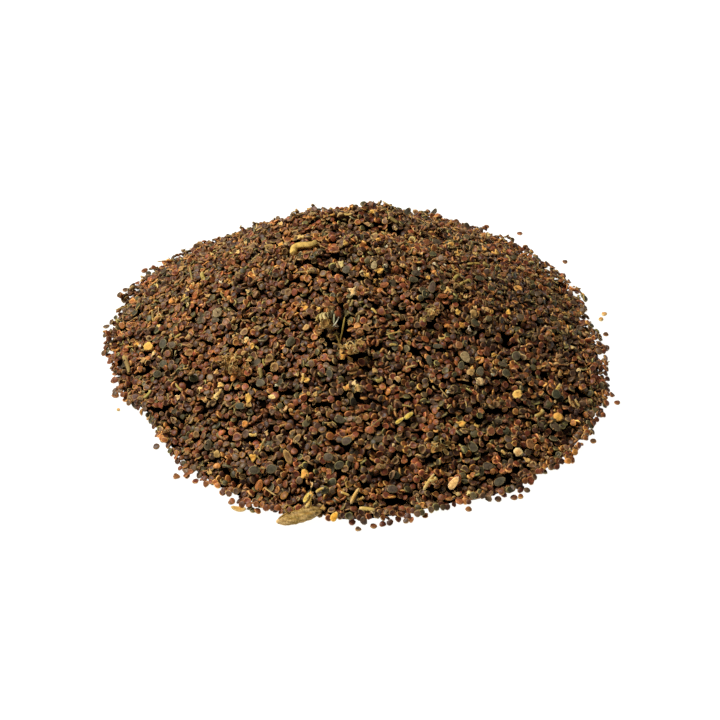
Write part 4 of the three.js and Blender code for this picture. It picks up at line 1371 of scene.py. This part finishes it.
middle, verts, faces, colour, marks = driedPod()
parts = [(verts, faces, colour, marks)]
for path, thickness in podFibres.values():
    path = smoothed(path)
    radii = thickness * np.interp(np.linspace(0, 1, len(path)), [0, 0.3, 1], [1.2, 0.9, 0.5])
    verts, faces = tubeAlong(path, radii, 6)
    parts.append((verts, faces, allOver(pod["tan"], verts), np.zeros(len(verts))))
verts, faces, colour, marks = joined(parts)
verts = turned(verts, pod["turn"], pod["tilt"]) + middle
verts[:, 2] = np.maximum(verts[:, 2], lowest)
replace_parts(makePiece("driedPod", verts, faces, podSkin, {
    "coatColour": colour, "rimness": marks,
    "rimColour": allOver(pod["mark"], verts)}), "front_husk")

stalkPath = smoothed(np.column_stack([stalkPlan, heapHeight(*stalkPlan.T) + stalk["above"]]))
run = np.linspace(0, 1, len(stalkPath))
swell = np.interp(run, [0, 0.04, 0.25, 0.5, 0.8, 0.97, 1], [0.8, 1.0, 1.04, 1.0, 0.94, 0.98, 0.7])
swell = swell * (1 + 0.05 * np.sin(run * 31) + 0.03 * np.sin(run * 57 + 1))
verts, faces = tubeAlong(stalkPath, stalk["diameter"] / 2 * swell, stalk["sides"], 0.94, stalk["ribs"])
ringRun = np.concatenate([[0], np.repeat(run, stalk["sides"]), [1]])
colour = np.stack([np.interp(ringRun, [0, 0.3, 0.7, 1], [linearColour(stalk[k])[c] for k in
                                                         ("light", "light", "middle", "dark")])
                   for c in range(3)], 1)
marks = np.clip(np.sin(ringRun * 90 + verts[:, 1] * 5) * np.sin(verts[:, 0] * 3.1) - 0.35, 0, 1)
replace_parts(makePiece("curledStalk", verts, faces, stalkSkin, {
    "coatColour": colour, "rimness": marks,
    "rimColour": allOver(stalk["mark"], verts)}), "curled_stalk")

# the seeds that rolled clear of the foot, and one piece of chaff
strayColours = {
    "brown": {"body": ["#7c4a2a", "#6a4026", "#8a5830", "#5e4430"], "rim": ["#b07a44", "#a07040"]},
    "pale": {"body": ["#dca058", "#c8b068", "#d8a860"], "rim": ["#e8bc7c", "#d8c488"]},
}
paleStrays = (4, 13, 14)


def strayThing(node, colours):
    # one thing that fills the box of its solid, lying flat but for a slight lean
    low, high = (np.array(corner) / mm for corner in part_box(node))
    half = (high - low) / 2
    azimuth, lean = draw.uniform(0, 2 * math.pi), math.radians(draw.uniform(0, 8))
    normal = np.array([math.sin(lean) * math.cos(azimuth), math.sin(lean) * math.sin(azimuth),
                       math.cos(lean)])
    turn = draw.uniform(0, 2 * math.pi)
    long = unit(np.cross((math.cos(turn), math.sin(turn), 0.0), normal))
    halfAcross = half[:2].mean()
    size = (halfAcross, halfAcross * draw.uniform(0.88, 1.0), 2 * half[2])
    shape = discShapes[int(draw.integers(len(discShapes)))]
    return (shape, np.stack([long, np.cross(normal, long), normal], 1), size, (low + high) / 2,
            tinted(colours["body"]), tinted(colours["rim"]))


strays = {"brown": [], "pale": []}
for number in range(1, 20):
    strays["pale" if number in paleStrays else "brown"].append(f"stray_seed_{number:02d}")
for tone, nodes in strays.items():
    things = [strayThing(node, strayColours[tone]) for node in nodes]
    slot = "pale_chaff" if tone == "pale" else "seed_coat"
    gather(tone + "StraySeeds", things, satinCoat, slot, *nodes)

looseHusk = {"length": 4.7, "width": 1.7, "turn": -14.0, "body": "#cfa050", "rim": "#e8c888"}
huskRings = [(0.5, 0.20, 0.1), (0.86, 0.46, 0.6), (1.0, 0.20, 1.0), (0.82, -0.30, 0.5)]
huskShape = plateShape(18, (0.10, 0.0), huskRings, (-0.5, 0.0), raggedOutline(0.16), 0.35, 0.2)
low, high = (np.array(corner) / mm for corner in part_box("loose_chaff"))
turn = math.radians(looseHusk["turn"])
way = np.array([math.cos(turn), math.sin(turn), 0])
flat = np.stack([way, np.cross((0, 0, 1), way), (0, 0, 1)], 1)
gather("looseChaff", [(huskShape, flat, (looseHusk["length"] / 2, looseHusk["width"] / 2, high[2] - low[2]),
                       (low + high) / 2, linearColour(looseHusk["body"]), linearColour(looseHusk["rim"]))],
       chaffSkin, "pale_chaff", "loose_chaff")
print("pod, stalk and strays are made")

shown = [o for o in bpy.context.scene.objects if o.type == "MESH" and not o.hide_render]
print("triangles in all:", sum(sum(len(p.vertices) - 2 for p in o.data.polygons) for o in shown))
